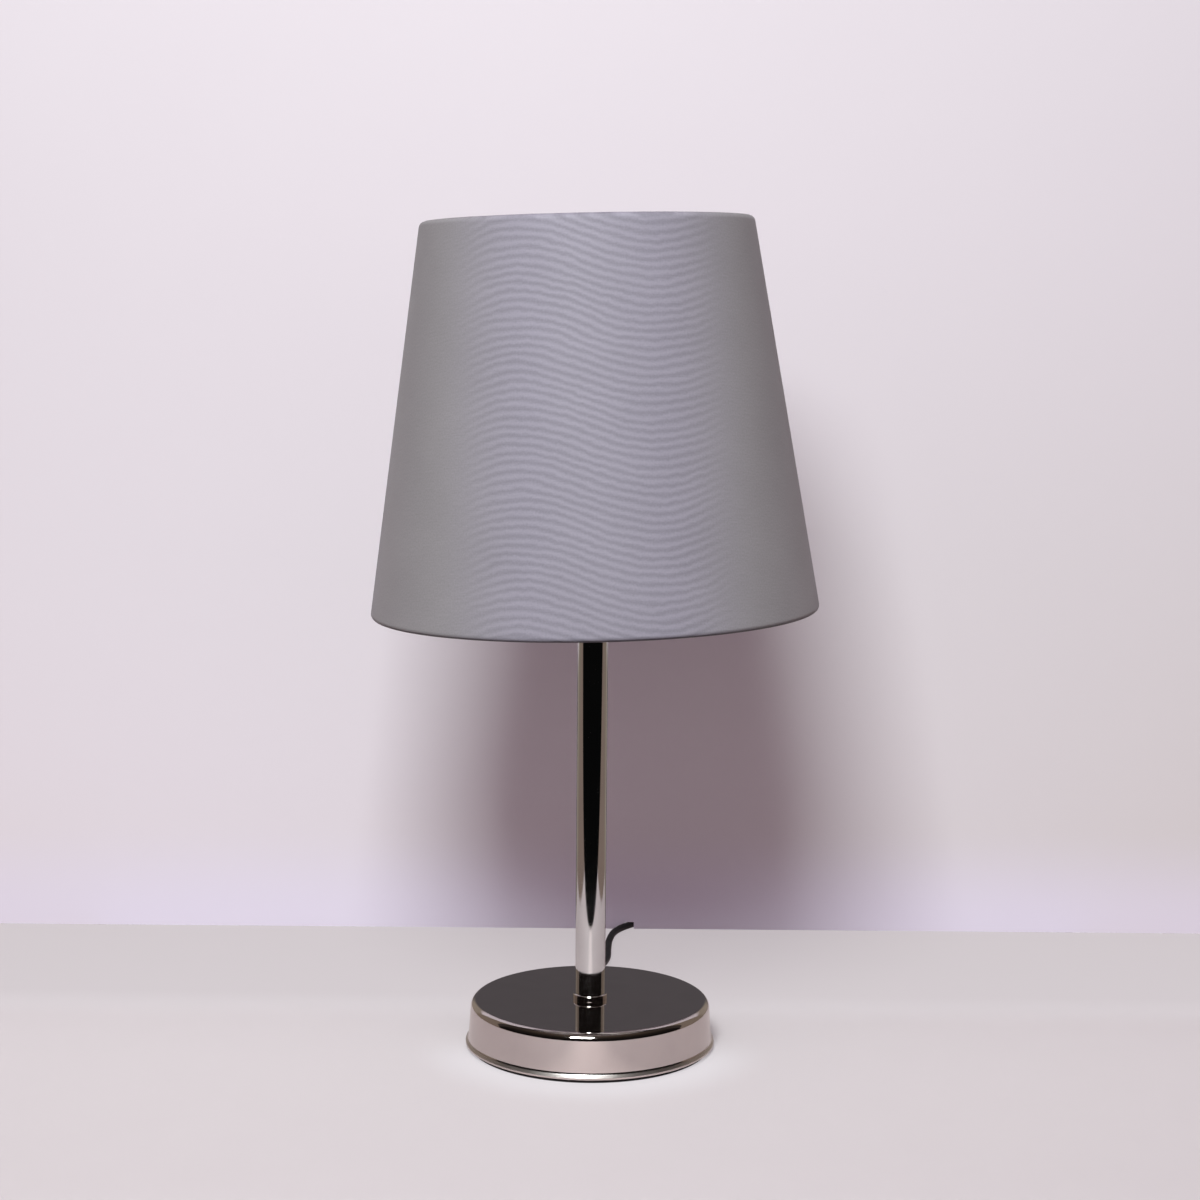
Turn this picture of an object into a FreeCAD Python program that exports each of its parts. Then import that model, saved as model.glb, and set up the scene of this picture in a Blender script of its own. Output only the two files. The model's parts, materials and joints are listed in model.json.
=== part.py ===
import FreeCAD, Part
import math
import os

import Sketcher

# Electric table lamp: a chromed disc base and straight stem, an E14 lampholder with a candle bulb,
# a tapered fabric shade on a wire frame, and a black lead with an inline switch and a two-pin plug.
# The frame stands at the middle of the base's underside: +Z up, -Y the front, +Y the side of the cord.
# Lengths are millimetres and angles are degrees.

doc = FreeCAD.newDocument("table_lamp")
sheet = doc.addObject("Spreadsheet::Sheet", "sizes")

# Driving dimensions, one spreadsheet row each.
SIZES = {
    # base
    "pad_recess": 2.1,
    "pad_thickness": 1.8,
    "plate_thickness": 1.2,
    "plate_play": 0.2,
    "base_radius": 56.6,
    "base_height": 21.6,
    "rim_height": 0.9,
    "flare_height": 1.3,
    "flare_width": 1.2,
    "side_draft": 1.3,
    "shell_wall": 1.0,
    "top_round": 3.4,
    "rim_round": 0.4,
    "flare_round": 2.0,
    "weight_play": 0.6,
    "weight_chamfer": 3.0,
    "web_thickness": 5.1,
    "pocket_radius": 17.0,
    "channel_width": 7.0,
    "channel_rise": 4.5,
    "plate_screw_count": 3,
    "plate_screw_inset": 16.6,
    "plate_screw_radius": 2.0,
    "plate_screw_length": 10.0,
    "plate_head_radius": 3.6,
    "plate_head_height": 1.4,
    "screw_play": 0.1,
    "thread_play": 0.05,
    "screw_slot_width": 0.9,
    # threaded tubes and nut
    "nipple_radius": 5.0,
    "nipple_bore": 3.6,
    "nipple_play": 0.1,
    "nipple_foot": 1.0,
    "nipple_reach": 18.0,
    "nut_width": 14.0,
    "nut_height": 3.0,
    "washer_radius": 9.0,
    "washer_height": 1.0,
    # cord where it enters the base
    "cord_radius": 1.8,
    "cord_play": 0.05,
    "exit_height": 9.6,
    "clamp_length": 22.0,
    "clamp_width": 8.0,
    "clamp_thickness": 2.0,
    "clamp_place": 35.0,
    "clamp_play": 0.5,
    "clamp_screw_space": 16.0,
    "clamp_screw_radius": 1.5,
    "clamp_screw_length": 8.0,
    "clamp_head_radius": 2.6,
    "clamp_head_height": 1.1,
    "flange_radius": 4.7,
    "flange_thickness": 1.2,
    "flange_play": 1.1,
    "neck_radius": 4.0,
    "relief_length": 24.0,
    "relief_tip": 2.6,
    "relief_groove": 0.5,
    "relief_rib_count": 6,
    "inner_bend_start": 17.0,
    "inner_bend_height": 5.2,
    # stem
    "stem_radius": 6.8,
    "stem_length": 174.4,
    "stem_play": 0.1,
    "collar_radius": 7.85,
    "collar_height": 2.6,
    "collar_round": 0.8,
    "collar_play": 0.05,
    # lampholder
    "holder_nipple_reach": 14.0,
    "holder_nipple_rise": 10.0,
    "cap_foot_radius": 8.4,
    "cap_height": 18.0,
    "cap_cone": 7.0,
    "holder_radius": 15.2,
    "holder_wall": 1.6,
    "cap_floor": 2.4,
    "cap_neck_wall": 2.4,
    "skirt_bore": 11.9,
    "shoulder_height": 14.0,
    "shoulder_thickness": 2.0,
    "shoulder_radius": 17.5,
    "thread_radius": 13.7,
    "thread_depth": 0.7,
    "thread_pitch": 2.0,
    "thread_turns": 9,
    "thread_lead": 1.0,
    "insert_drop": 4.0,
    "insert_foot_radius": 9.0,
    "insert_foot": 1.0,
    "insert_play": 0.3,
    "insert_top_gap": 4.0,
    "insert_floor": 11.0,
    "socket_wall": 0.4,
    "socket_height": 22.0,
    "socket_play": 0.25,
    "contact_width": 4.0,
    "contact_reach": 3.0,
    "contact_tail": 5.0,
    "contact_thickness": 0.5,
    "contact_spring": 0.8,
    "terminal_place": 6.5,
    "terminal_screw_radius": 1.5,
    "terminal_screw_length": 6.0,
    "terminal_head_radius": 2.4,
    "terminal_head_height": 2.4,
    "core_radius": 0.8,
    "core_space": 1.9,
    "wire_bare": 2.0,
    "fitter_play": 0.1,
    "ring_height": 5.0,
    "ring_radius": 18.5,
    "ring_play": 0.2,
    "ring_knurl_count": 24,
    "ring_knurl_radius": 1.0,
    # shade
    "fitter_bore": 14.2,
    "fitter_radius": 19.0,
    "fitter_thickness": 1.2,
    "arm_radius": 1.3,
    "arm_count": 3,
    "arm_gap": 0.1,
    "arm_knee": 9.0,
    "arm_notch": 4.2,
    "shade_bottom_radius": 100.0,
    "shade_top_radius": 73.1,
    "shade_height": 173.0,
    "shade_drop": 29.2,
    "shade_lean_angle": 1.65,
    "fabric_thickness": 0.5,
    "liner_thickness": 0.4,
    "frame_wire_radius": 1.5,
    "shade_play": 0.1,
    "hem_height": 9.0,
    # bulb
    "thread_e14_radius": 6.9,
    "thread_e14_depth": 0.6,
    "thread_e14_pitch": 2.8,
    "thread_e14_turns": 5,
    "contact_gap": 0.1,
    "button_radius": 2.4,
    "button_height": 1.4,
    "insulator_height": 3.4,
    "insulator_tip": 3.0,
    "cap_wall": 0.5,
    "cap_lead": 0.9,
    "cap_flare": 8.4,
    "cap_flare_height": 4.0,
    "glass_wall": 0.8,
    "glass_neck": 8.2,
    "glass_radius": 17.5,
    "glass_belly_height": 28.0,
    "glass_height": 74.0,
    "glass_tip": 1.6,
    "mount_radius": 3.2,
    "mount_play": 0.3,
    "mount_height": 16.0,
    "filament_radius": 0.45,
    "filament_length": 30.0,
    "filament_angle": 9.0,
    "filament_count": 4,
    # inline switch
    "switch_length": 58.0,
    "switch_middle": 36.0,
    "switch_width": 24.0,
    "switch_end_width": 11.0,
    "switch_height": 13.0,
    "switch_wall": 1.6,
    "switch_round": 1.5,
    "switch_grip": 5.0,
    "switch_bore_play": 0.1,
    "switch_cavity_width": 19.0,
    "switch_cavity_length": 30.0,
    "switch_relief": 1.0,
    "rocker_length": 18.0,
    "rocker_width": 10.4,
    "rocker_rise": 5.6,
    "rocker_dip": 1.3,
    "rocker_skirt": 1.0,
    "rocker_keel": 3.0,
    "rocker_keel_length": 8.0,
    "rocker_angle": 10.0,
    "rocker_play": 0.4,
    "rocker_end_play": 1.2,
    "pivot_height": 9.0,
    "pivot_radius": 1.2,
    "pivot_play": 0.05,
    "pivot_length": 1.6,
    "case_screw_across": 7.2,
    "case_screw_along": 19.5,
    "case_screw_radius": 1.25,
    "case_screw_length": 9.0,
    "case_head_radius": 2.3,
    "case_head_height": 1.5,
    "case_head_depth": 0.4,
    "strip_thickness": 0.6,
    "strip_width": 4.0,
    "strip_length": 5.5,
    "strip_rise": 1.6,
    "strip_across": 4.5,
    "wire_reach": 7.5,
    "wire_bend": 4.5,
    "wire_height": 3.4,
    # plug
    "plug_width": 35.3,
    "plug_height": 13.7,
    "plug_depth": 32.0,
    "plug_face_depth": 12.0,
    "plug_waist_share": 0.72,
    "plug_neck_radius": 4.2,
    "boot_length": 20.0,
    "boot_tip": 2.6,
    "boot_grip": 5.0,
    "pin_radius": 2.0,
    "pin_sleeve": 10.0,
    "sleeve_step": 0.2,
    "pin_length": 19.0,
    "pin_root": 8.0,
    "pin_space": 18.6,
    "pin_round": 0.9,
    # coil of spare cord
    "coil_radius": 26.5,
    "coil_gap": 0.5,
    "coil_layers": 4,
    "coil_layer_quarters": 11,
    "coil_cut_quarters": 2,
    # how far every cutting shape runs past the solid
    "overrun": 2.0,
}

for row, (alias, value) in enumerate(SIZES.items(), 1):
    sheet.set(f"A{row}", alias.replace("_", " "))
    sheet.set(f"B{row}", str(value))
    sheet.setAlias(f"B{row}", alias)
doc.recompute()


class Size:
    """A length that knows both its number and the expression that gives it from the sheet."""

    def __init__(self, value, text):
        self.value = value
        self.text = text

    def with_other(self, other, sign, turned=False):
        other = other if isinstance(other, Size) else Size(other, str(other))
        first, second = (other, self) if turned else (self, other)
        value = {
            "+": lambda: first.value + second.value,
            "-": lambda: first.value - second.value,
            "*": lambda: first.value * second.value,
            "/": lambda: first.value / second.value,
        }[sign]()
        return Size(value, f"({first.text} {sign} {second.text})")

    def __add__(self, other):
        return self.with_other(other, "+")

    def __radd__(self, other):
        return self.with_other(other, "+", True)

    def __sub__(self, other):
        return self.with_other(other, "-")

    def __rsub__(self, other):
        return self.with_other(other, "-", True)

    def __mul__(self, other):
        return self.with_other(other, "*")

    def __rmul__(self, other):
        return self.with_other(other, "*", True)

    def __truediv__(self, other):
        return self.with_other(other, "/")

    def __neg__(self):
        return Size(-self.value, f"(-{self.text})")

    def __float__(self):
        return float(self.value)


class Sizes:
    """The sheet's cells by name, as Size values."""

    def __getattr__(self, alias):
        return Size(getattr(sheet, alias), f"sizes.{alias}")


s = Sizes()
pieces = {}

NEAR = 0.01  # how near an edge lies to the height and radius that name it
HALF_SHARE = 0.5
RUN_SHARE = 0.45  # an arc takes this much of the shorter run beside it
RIDGE_SHARE = 0.2  # a thread's slopes, of its pitch
ROUND_LIMIT_SHARE = 0.9  # the largest rounding, of its wall
KNURL_SHARE = 0.4  # how far outside the ring a knurl's cutter stands, of its radius
CORNER_SHARE = 0.4  # the plug's corner rounding, of its height

# Helpers: document objects


def keep(name, thing):
    """Registers a finished sub-part under the name of its file."""
    thing.Label = name
    pieces[name] = thing
    return thing


def bind(thing, settings):
    """Sets properties from sizes: expressions where they are Size values."""
    for prop, size in settings.items():
        if isinstance(size, Size):
            thing.setExpression(prop, size.text)
        else:
            setattr(thing, prop, size)


def new_body(name, up=None, along=None, across=None):
    """A body whose own frame stands at a place given by sizes."""
    body = keep(name, doc.addObject("PartDesign::Body", name))
    for prop, size in (("x", across), ("y", along), ("z", up)):
        if size is not None:
            body.setExpression(f"Placement.Base.{prop}", size.text)
    return body


def new_sketch(body, name, role, lift=None):
    """An empty sketch on one of the body's own origin planes."""
    sketch = body.newObject("Sketcher::SketchObject", name)
    plane = next(f for f in body.Origin.OriginFeatures if f.Role == role)
    sketch.AttachmentSupport = [(plane, "")]
    sketch.MapMode = "FlatFace"
    if lift is not None:
        sketch.setExpression("AttachmentOffset.Base.z", lift.text)
    return sketch


def pin_point(sketch, geometry, position, corner):
    """Constraints that hold one point at a place from the sketch's origin."""
    found = []
    for kind, axis, size in (("DistanceX", -2, corner[0]), ("DistanceY", -1, corner[1])):
        if isinstance(size, Size):
            index = sketch.addConstraint(Sketcher.Constraint(kind, -1, 1, geometry, position, float(size)))
            found.append((index, size))
        else:
            sketch.addConstraint(Sketcher.Constraint("PointOnObject", geometry, position, axis))
    for index, size in found:
        sketch.setExpression(f"Constraints[{index}]", size.text)


def outline(sketch, corners):
    """A closed polygon; each corner is a pair of sizes, or 0 for a place on the axis."""
    places = [FreeCAD.Vector(float(across), float(up), 0) for across, up in corners]
    count = len(places)
    first = sketch.GeometryCount
    for i in range(count):
        sketch.addGeometry(Part.LineSegment(places[i], places[(i + 1) % count]), False)
    for i in range(count):
        sketch.addConstraint(Sketcher.Constraint("Coincident", first + i, 2, first + (i + 1) % count, 1))
    for i, corner in enumerate(corners):
        pin_point(sketch, first + i, 1, corner)


def circle(sketch, radius, centre=(0, 0)):
    """A circle of a given radius about a place in the sketch."""
    middle = FreeCAD.Vector(float(centre[0]), float(centre[1]), 0)
    index = sketch.addGeometry(Part.Circle(middle, FreeCAD.Vector(0, 0, 1), float(radius)), False)
    pin_point(sketch, index, 3, centre)
    held = sketch.addConstraint(Sketcher.Constraint("Radius", index, float(radius)))
    sketch.setExpression(f"Constraints[{held}]", radius.text)


def rectangle(sketch, low_across, high_across, low_up, high_up):
    """An upright rectangle between four sizes."""
    low = [(low_across, low_up), (high_across, low_up)]
    outline(sketch, low + [(high_across, high_up), (low_across, high_up)])


def turn(body, corners):
    """Turns a polygon of (radius, height) about the body's own upright axis."""
    sketch = new_sketch(body, f"{body.Name}_profile", "XZ_Plane")
    outline(sketch, corners)
    feature = body.newObject("PartDesign::Revolution", f"{body.Name}_turn")
    feature.Profile = sketch
    feature.ReferenceAxis = (sketch, ["V_Axis"])
    feature.Angle = 360
    doc.recompute()
    return feature


def pad(body, draw, height, role="XY_Plane", lift=None, midplane=False, label="pad"):
    """Raises what draw(sketch) puts on one of the body's planes."""
    sketch = new_sketch(body, f"{body.Name}_{label}_sketch", role, lift)
    draw(sketch)
    feature = body.newObject("PartDesign::Pad", f"{body.Name}_{label}")
    feature.Profile = sketch
    feature.Midplane = midplane
    feature.setExpression("Length", height.text)
    doc.recompute()
    return feature


def cut(body, draw, depth, label, role="XY_Plane", upward=True, midplane=False, lift=None):
    """Cuts what draw(sketch) puts on one of the body's planes, and makes sure that it took something away."""
    before = body.Shape.Volume
    sketch = new_sketch(body, f"{body.Name}_{label}_sketch", role, lift)
    draw(sketch)
    feature = body.newObject("PartDesign::Pocket", f"{body.Name}_{label}")
    feature.Profile = sketch
    feature.Midplane = midplane
    feature.Reversed = upward and role == "XY_Plane"
    feature.setExpression("Length", depth.text)
    doc.recompute()
    if body.Shape.Volume >= before:
        raise RuntimeError(f"{body.Name} {label} cuts nothing")
    return feature


def repeat(body, feature, count):
    """Repeats a feature evenly about the body's upright axis."""
    pattern = body.newObject("PartDesign::PolarPattern", f"{feature.Name}_around")
    pattern.Originals = [feature]
    pattern.Axis = (feature.Profile[0], ["N_Axis"])
    pattern.Angle = 360
    pattern.setExpression("Occurrences", count.text)
    body.Tip = pattern
    doc.recompute()
    return pattern


def lesser(first, second):
    """The smaller of two sizes, so that a rounding stays within its wall."""
    return Size(min(first.value, second.value), f"min({first.text}; {second.text})")


def edges_at(feature, height=None, radius=None, upright=False):
    """Names of a feature's edges: level ones at a height and radius, or all the upright ones."""
    named = []
    for number, edge in enumerate(feature.Shape.Edges, 1):
        box = edge.BoundBox
        if upright:
            wanted = box.ZLength > abs(box.XLength) + abs(box.YLength)
        else:
            wanted = box.ZLength < NEAR and (height is None or abs(box.ZMin - float(height)) < NEAR)
            if radius is not None:
                wanted = wanted and hasattr(edge.Curve, "Radius")
                wanted = wanted and abs(edge.Curve.Radius - float(radius)) < NEAR
        if wanted:
            named.append(f"Edge{number}")
    if not named:
        raise RuntimeError(f"{feature.Name} has no such edge")
    return named


def soften(body, feature, edges, size, kind="Fillet"):
    """Rounds or bevels named edges of a feature."""
    done = body.newObject(f"PartDesign::{kind}", f"{feature.Name}_{kind.lower()}_{len(body.Group)}")
    done.Base = (feature, edges)
    done.setExpression("Radius" if kind == "Fillet" else "Size", size.text)
    doc.recompute()
    return done


# Helpers: shapes made with Part's own functions


def vector(x, y, z):
    return FreeCAD.Vector(float(x), float(y), float(z))


UP = FreeCAD.Vector(0, 0, 1)


def rod(radius, length, at, direction=UP):
    return Part.makeCylinder(float(radius), float(length), at, direction)


def shaped(name, shape):
    """A sub-part whose shape is worked out directly."""
    thing = doc.addObject("Part::Feature", name)
    thing.Shape = shape
    return keep(name, thing)


def group(name, solids):
    """Like pieces that share one sub-part."""
    return shaped(name, Part.makeCompound(solids))


def slotted_screw(radius, length, head_radius, head_height, head_foot):
    """A screw that points up, with its slotted head underneath."""
    head = rod(head_radius, head_height, head_foot)
    shank = rod(radius, length + head_height, head_foot)
    depth = head_height * HALF_SHARE
    slot_length = head_radius * 2 + s.overrun
    slot = Part.makeBox(float(slot_length), float(s.screw_slot_width), float(depth + s.overrun))
    slot.translate(head_foot - vector(head_radius + s.overrun / 2, s.screw_slot_width / 2, s.overrun))
    return head.fuse(shank).cut(slot).removeSplitter()


def rounded_route(points):
    """Straight runs joined by tangent arcs, each as large as its two runs allow; gives the wire and radii."""
    edges = []
    radii = []
    start = points[0]
    for before, corner, after in zip(points, points[1:], points[2:]):
        back = (before - corner).normalize()
        ahead = (after - corner).normalize()
        half_turn = (math.pi - back.getAngle(ahead)) / 2
        shorter = min(before.distanceToPoint(corner), after.distanceToPoint(corner))
        reach = RUN_SHARE * shorter
        radius = reach / math.tan(half_turn)
        inward = (back + ahead).normalize()
        enter = corner + back * reach
        leave = corner + ahead * reach
        middle = corner + inward * (radius / math.cos(half_turn) - radius)
        edges.append(Part.LineSegment(start, enter).toShape())
        edges.append(Part.Arc(enter, middle, leave).toShape())
        radii.append(radius)
        start = leave
    edges.append(Part.LineSegment(start, points[-1]).toShape())
    return Part.Wire(edges), radii


def tube(wire, radius, start, heading):
    """A round solid along a wire."""
    ring = Part.Wire([Part.Circle(start, heading, float(radius)).toShape()])
    return wire.makePipeShell([ring], True, False)


def cord_tube(name, points, radius):
    """A cord's tube along a route, with its volume held against its section times its length."""
    wire, radii = rounded_route(points)
    solid = tube(wire, radius, points[0], points[1] - points[0])
    share = solid.Volume / (math.pi * float(radius) ** 2 * wire.Length)
    listed = ", ".join(f"{r:.1f}" for r in radii)
    print(f"{name}: {wire.Length:.1f} mm long, volume share {share:.4f}, radii {listed}")
    return solid


# Base: pad, plate, weight and shell


pad_radius = s.base_radius - s.pad_recess
side_radius = s.base_radius - s.flare_width
screw_circle = s.base_radius - s.plate_screw_inset


def bottom_screws_at(sketch, radius):
    circle(sketch, radius, (screw_circle, 0))


base_pad = new_body("base_pad")
pad(base_pad, lambda sketch: circle(sketch, pad_radius), s.pad_thickness)
pad_holes = cut(
    base_pad,
    lambda sketch: bottom_screws_at(sketch, s.plate_head_radius + s.clamp_play),
    s.pad_thickness + s.overrun,
    "screw_hole",
)
repeat(base_pad, pad_holes, s.plate_screw_count)

wall_bottom = side_radius - s.shell_wall
wall_top = wall_bottom - s.side_draft

base_plate = new_body("base_plate", up=s.pad_thickness)
pad(base_plate, lambda sketch: circle(sketch, wall_bottom - s.plate_play), s.plate_thickness)
plate_holes = cut(
    base_plate,
    lambda sketch: bottom_screws_at(sketch, s.plate_screw_radius + s.screw_play),
    s.plate_thickness + s.overrun,
    "screw_hole",
)
repeat(base_plate, plate_holes, s.plate_screw_count)

head_foot = s.pad_thickness - s.plate_head_height
screw_angles = [360 * i / s.plate_screw_count.value for i in range(int(s.plate_screw_count.value))]
group(
    "plate_screws",
    [
        slotted_screw(
            s.plate_screw_radius,
            s.plate_screw_length,
            s.plate_head_radius,
            s.plate_head_height,
            FreeCAD.Rotation(UP, angle).multVec(vector(screw_circle, 0, head_foot)),
        )
        for angle in screw_angles
    ],
)

weight_foot = s.pad_thickness + s.plate_thickness
weight_height = s.base_height - s.shell_wall - weight_foot
weight_radius = wall_top - s.weight_play
pocket_depth = weight_height - s.web_thickness
nipple_hole = s.nipple_radius + s.nipple_play
exit_up = s.exit_height - weight_foot

base_weight = new_body("base_weight", up=weight_foot)
turn(
    base_weight,
    [
        (s.pocket_radius, 0),
        (weight_radius, 0),
        (weight_radius, weight_height - s.weight_chamfer),
        (weight_radius - s.weight_chamfer, weight_height),
        (nipple_hole, weight_height),
        (nipple_hole, pocket_depth),
        (s.pocket_radius, pocket_depth),
    ],
)
half_channel = s.channel_width / 2
cut(
    base_weight,
    lambda sketch: rectangle(
        sketch, -half_channel, half_channel, s.pocket_radius - s.overrun, weight_radius + s.overrun
    ),
    exit_up + s.channel_rise,
    "cord_channel",
)
notch_half = s.flange_radius + s.clamp_play
cut(
    base_weight,
    lambda sketch: rectangle(
        sketch, -notch_half, notch_half, weight_radius - s.overrun, weight_radius + s.overrun
    ),
    exit_up + s.flange_radius + s.clamp_play,
    "grommet_notch",
)
clamp_half_length = s.clamp_length / 2
clamp_half_width = s.clamp_width / 2
cut(
    base_weight,
    lambda sketch: rectangle(
        sketch,
        -(clamp_half_length + s.clamp_play),
        clamp_half_length + s.clamp_play,
        s.clamp_place - clamp_half_width - s.clamp_play,
        s.clamp_place + clamp_half_width + s.clamp_play,
    ),
    exit_up - s.cord_radius,
    "clamp_seat",
)


def clamp_holes(sketch, radius, along):
    for side in (-1, 1):
        circle(sketch, radius, (s.clamp_screw_space * (side * HALF_SHARE), along))


cut(
    base_weight,
    lambda sketch: clamp_holes(sketch, s.clamp_screw_radius, s.clamp_place),
    exit_up - s.cord_radius - s.clamp_thickness + s.clamp_screw_length,
    "clamp_holes",
)
weight_holes = cut(
    base_weight,
    lambda sketch: bottom_screws_at(sketch, s.plate_screw_radius),
    s.plate_screw_length - s.plate_thickness + s.screw_play,
    "plate_hole",
)
repeat(base_weight, weight_holes, s.plate_screw_count)

shell_height = s.base_height - s.pad_thickness
side_top = side_radius - s.side_draft
base_shell = new_body("base_shell", up=s.pad_thickness)
shell_turn = turn(
    base_shell,
    [
        (wall_bottom, 0),
        (s.base_radius, 0),
        (s.base_radius, s.rim_height),
        (side_radius, s.rim_height + s.flare_height),
        (side_top, shell_height),
        (nipple_hole, shell_height),
        (nipple_hole, shell_height - s.shell_wall),
        (wall_top, shell_height - s.shell_wall),
    ],
)
shell_edge = soften(base_shell, shell_turn, edges_at(shell_turn, shell_height, side_top), s.top_round)
inner_edges = edges_at(shell_edge, shell_height - s.shell_wall, wall_top)
shell_edge = soften(base_shell, shell_edge, inner_edges, s.top_round - s.shell_wall)
rim_edges = edges_at(shell_edge, s.rim_height, s.base_radius)
shell_edge = soften(base_shell, shell_edge, rim_edges, s.rim_round)
flare_edges = edges_at(shell_edge, s.rim_height + s.flare_height, side_radius)
shell_edge = soften(base_shell, shell_edge, flare_edges, s.flare_round)
cut(
    base_shell,
    lambda sketch: circle(sketch, s.neck_radius + s.screw_play, (0, s.exit_height - s.pad_thickness)),
    s.base_radius + s.overrun,
    "cord_hole",
    role="XZ_Plane",
)

# Cord entry: grommet with its strain relief, clamp and the length inside the lamp

wall_outside = side_radius + s.screw_play
neck_length = s.shell_wall + s.flange_play + s.screw_play
grommet_start = wall_outside - neck_length - s.flange_thickness
relief_start = s.flange_thickness * 2 + neck_length
relief_end = relief_start + s.relief_length
cord_hole = s.cord_radius + s.cord_play
ribs = int(s.relief_rib_count.value)
rib_step = s.relief_length / s.relief_rib_count
taper = (s.neck_radius - s.relief_tip) / s.relief_length
relief_corners = []
for rib in range(ribs):
    foot = rib_step * rib
    land = foot + rib_step * HALF_SHARE
    relief_corners.append((s.neck_radius - taper * foot, relief_start + foot))
    relief_corners.append((s.neck_radius - taper * land, relief_start + land))
    if rib < ribs - 1:
        relief_corners.append((s.neck_radius - taper * land - s.relief_groove, relief_start + land))
        after = foot + rib_step
        relief_corners.append((s.neck_radius - taper * after - s.relief_groove, relief_start + after))
relief_corners.append((s.relief_tip, relief_end))

cord_grommet = new_body("cord_grommet", up=s.exit_height, along=grommet_start)
cord_grommet.Placement.Rotation = FreeCAD.Rotation(FreeCAD.Vector(1, 0, 0), -90)
turn(
    cord_grommet,
    [
        (cord_hole, 0),
        (s.flange_radius, 0),
        (s.flange_radius, s.flange_thickness),
        (s.neck_radius, s.flange_thickness),
        (s.neck_radius, s.flange_thickness + neck_length),
        (s.flange_radius, s.flange_thickness + neck_length),
        (s.flange_radius, relief_start),
        *relief_corners,
        (cord_hole, relief_end),
    ],
)

cord_clamp = new_body("cord_clamp", up=s.exit_height - s.cord_radius - s.clamp_thickness)
clamp_bar = pad(
    cord_clamp,
    lambda sketch: rectangle(
        sketch,
        -clamp_half_length,
        clamp_half_length,
        s.clamp_place - clamp_half_width,
        s.clamp_place + clamp_half_width,
    ),
    s.clamp_thickness,
)
soften(cord_clamp, clamp_bar, edges_at(clamp_bar, upright=True), s.clamp_thickness)
cut(
    cord_clamp,
    lambda sketch: clamp_holes(sketch, s.clamp_screw_radius + s.screw_play, s.clamp_place),
    s.clamp_thickness + s.overrun,
    "screw_holes",
)
clamp_foot = s.exit_height - s.cord_radius - s.clamp_thickness - s.clamp_head_height
group(
    "clamp_screws",
    [
        slotted_screw(
            s.clamp_screw_radius,
            s.clamp_screw_length - s.screw_play,
            s.clamp_head_radius,
            s.clamp_head_height,
            vector(s.clamp_screw_space * (side * HALF_SHARE), s.clamp_place, clamp_foot),
        )
        for side in (-1, 1)
    ],
)

# Stem, its collar and the threaded tubes that pull the lamp together


def annulus(outer, inner):
    def draw(sketch):
        circle(sketch, outer)
        circle(sketch, inner)

    return draw


stem_top = s.base_height + s.stem_length
stem_bore = s.nipple_radius + s.stem_play
stem_tube = new_body("stem_tube", up=s.base_height)
pad(stem_tube, annulus(s.stem_radius, stem_bore), s.stem_length)

stem_collar = new_body("stem_collar", up=s.base_height)
collar_bore = s.stem_radius + s.collar_play
collar_turn = turn(
    stem_collar,
    [
        (collar_bore, 0),
        (s.collar_radius, 0),
        (s.collar_radius, s.collar_height),
        (collar_bore, s.collar_height),
    ],
)
collar_edges = edges_at(collar_turn, s.collar_height, s.collar_radius)
collar_wall = s.collar_radius - collar_bore
soften(stem_collar, collar_turn, collar_edges, lesser(s.collar_round, collar_wall * ROUND_LIMIT_SHARE))

nut_top = weight_foot + pocket_depth - s.washer_height
nut_foot = nut_top - s.nut_height
nipple_start = nut_foot - s.nipple_foot
base_nipple = new_body("base_nipple", up=nipple_start)
pad(base_nipple, annulus(s.nipple_radius, s.nipple_bore), s.base_height + s.nipple_reach - nipple_start)

nipple_washer = new_body("nipple_washer", up=nut_top)
pad(nipple_washer, annulus(s.washer_radius, nipple_hole), s.washer_height)

nut_block = doc.addObject("Part::Prism", "nut_block")
bind(nut_block, {"Polygon": 6, "Height": s.nut_height})
nut_block.setExpression("Circumradius", f"{s.nut_width.text} / sqrt(3)")
nut_bore = doc.addObject("Part::Cylinder", "nut_bore")
bind(nut_bore, {"Radius": nipple_hole, "Height": s.nut_height + s.overrun * 2})
nut_bore.setExpression("Placement.Base.z", (-s.overrun).text)
nipple_nut = keep("nipple_nut", doc.addObject("Part::Cut", "nipple_nut"))
nipple_nut.Base = nut_block
nipple_nut.Tool = nut_bore
nipple_nut.setExpression("Placement.Base.z", nut_foot.text)

holder_nipple = new_body("holder_nipple", up=stem_top - s.holder_nipple_reach)
pad(holder_nipple, annulus(s.nipple_radius, s.nipple_bore), s.holder_nipple_reach + s.holder_nipple_rise)

# Lampholder

cap_neck = nipple_hole + s.cap_neck_wall
cap_bore = s.holder_radius - s.holder_wall
holder_cap = new_body("holder_cap", up=stem_top)
turn(
    holder_cap,
    [
        (nipple_hole, 0),
        (s.cap_foot_radius, 0),
        (s.holder_radius, s.cap_cone),
        (s.holder_radius, s.cap_height),
        (cap_bore, s.cap_height),
        (cap_bore, s.cap_cone + s.holder_wall * HALF_SHARE),
        (cap_neck + s.holder_wall, s.cap_floor),
        (cap_neck, s.cap_floor),
        (cap_neck, s.holder_nipple_rise),
        (nipple_hole, s.holder_nipple_rise),
    ],
)

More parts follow.
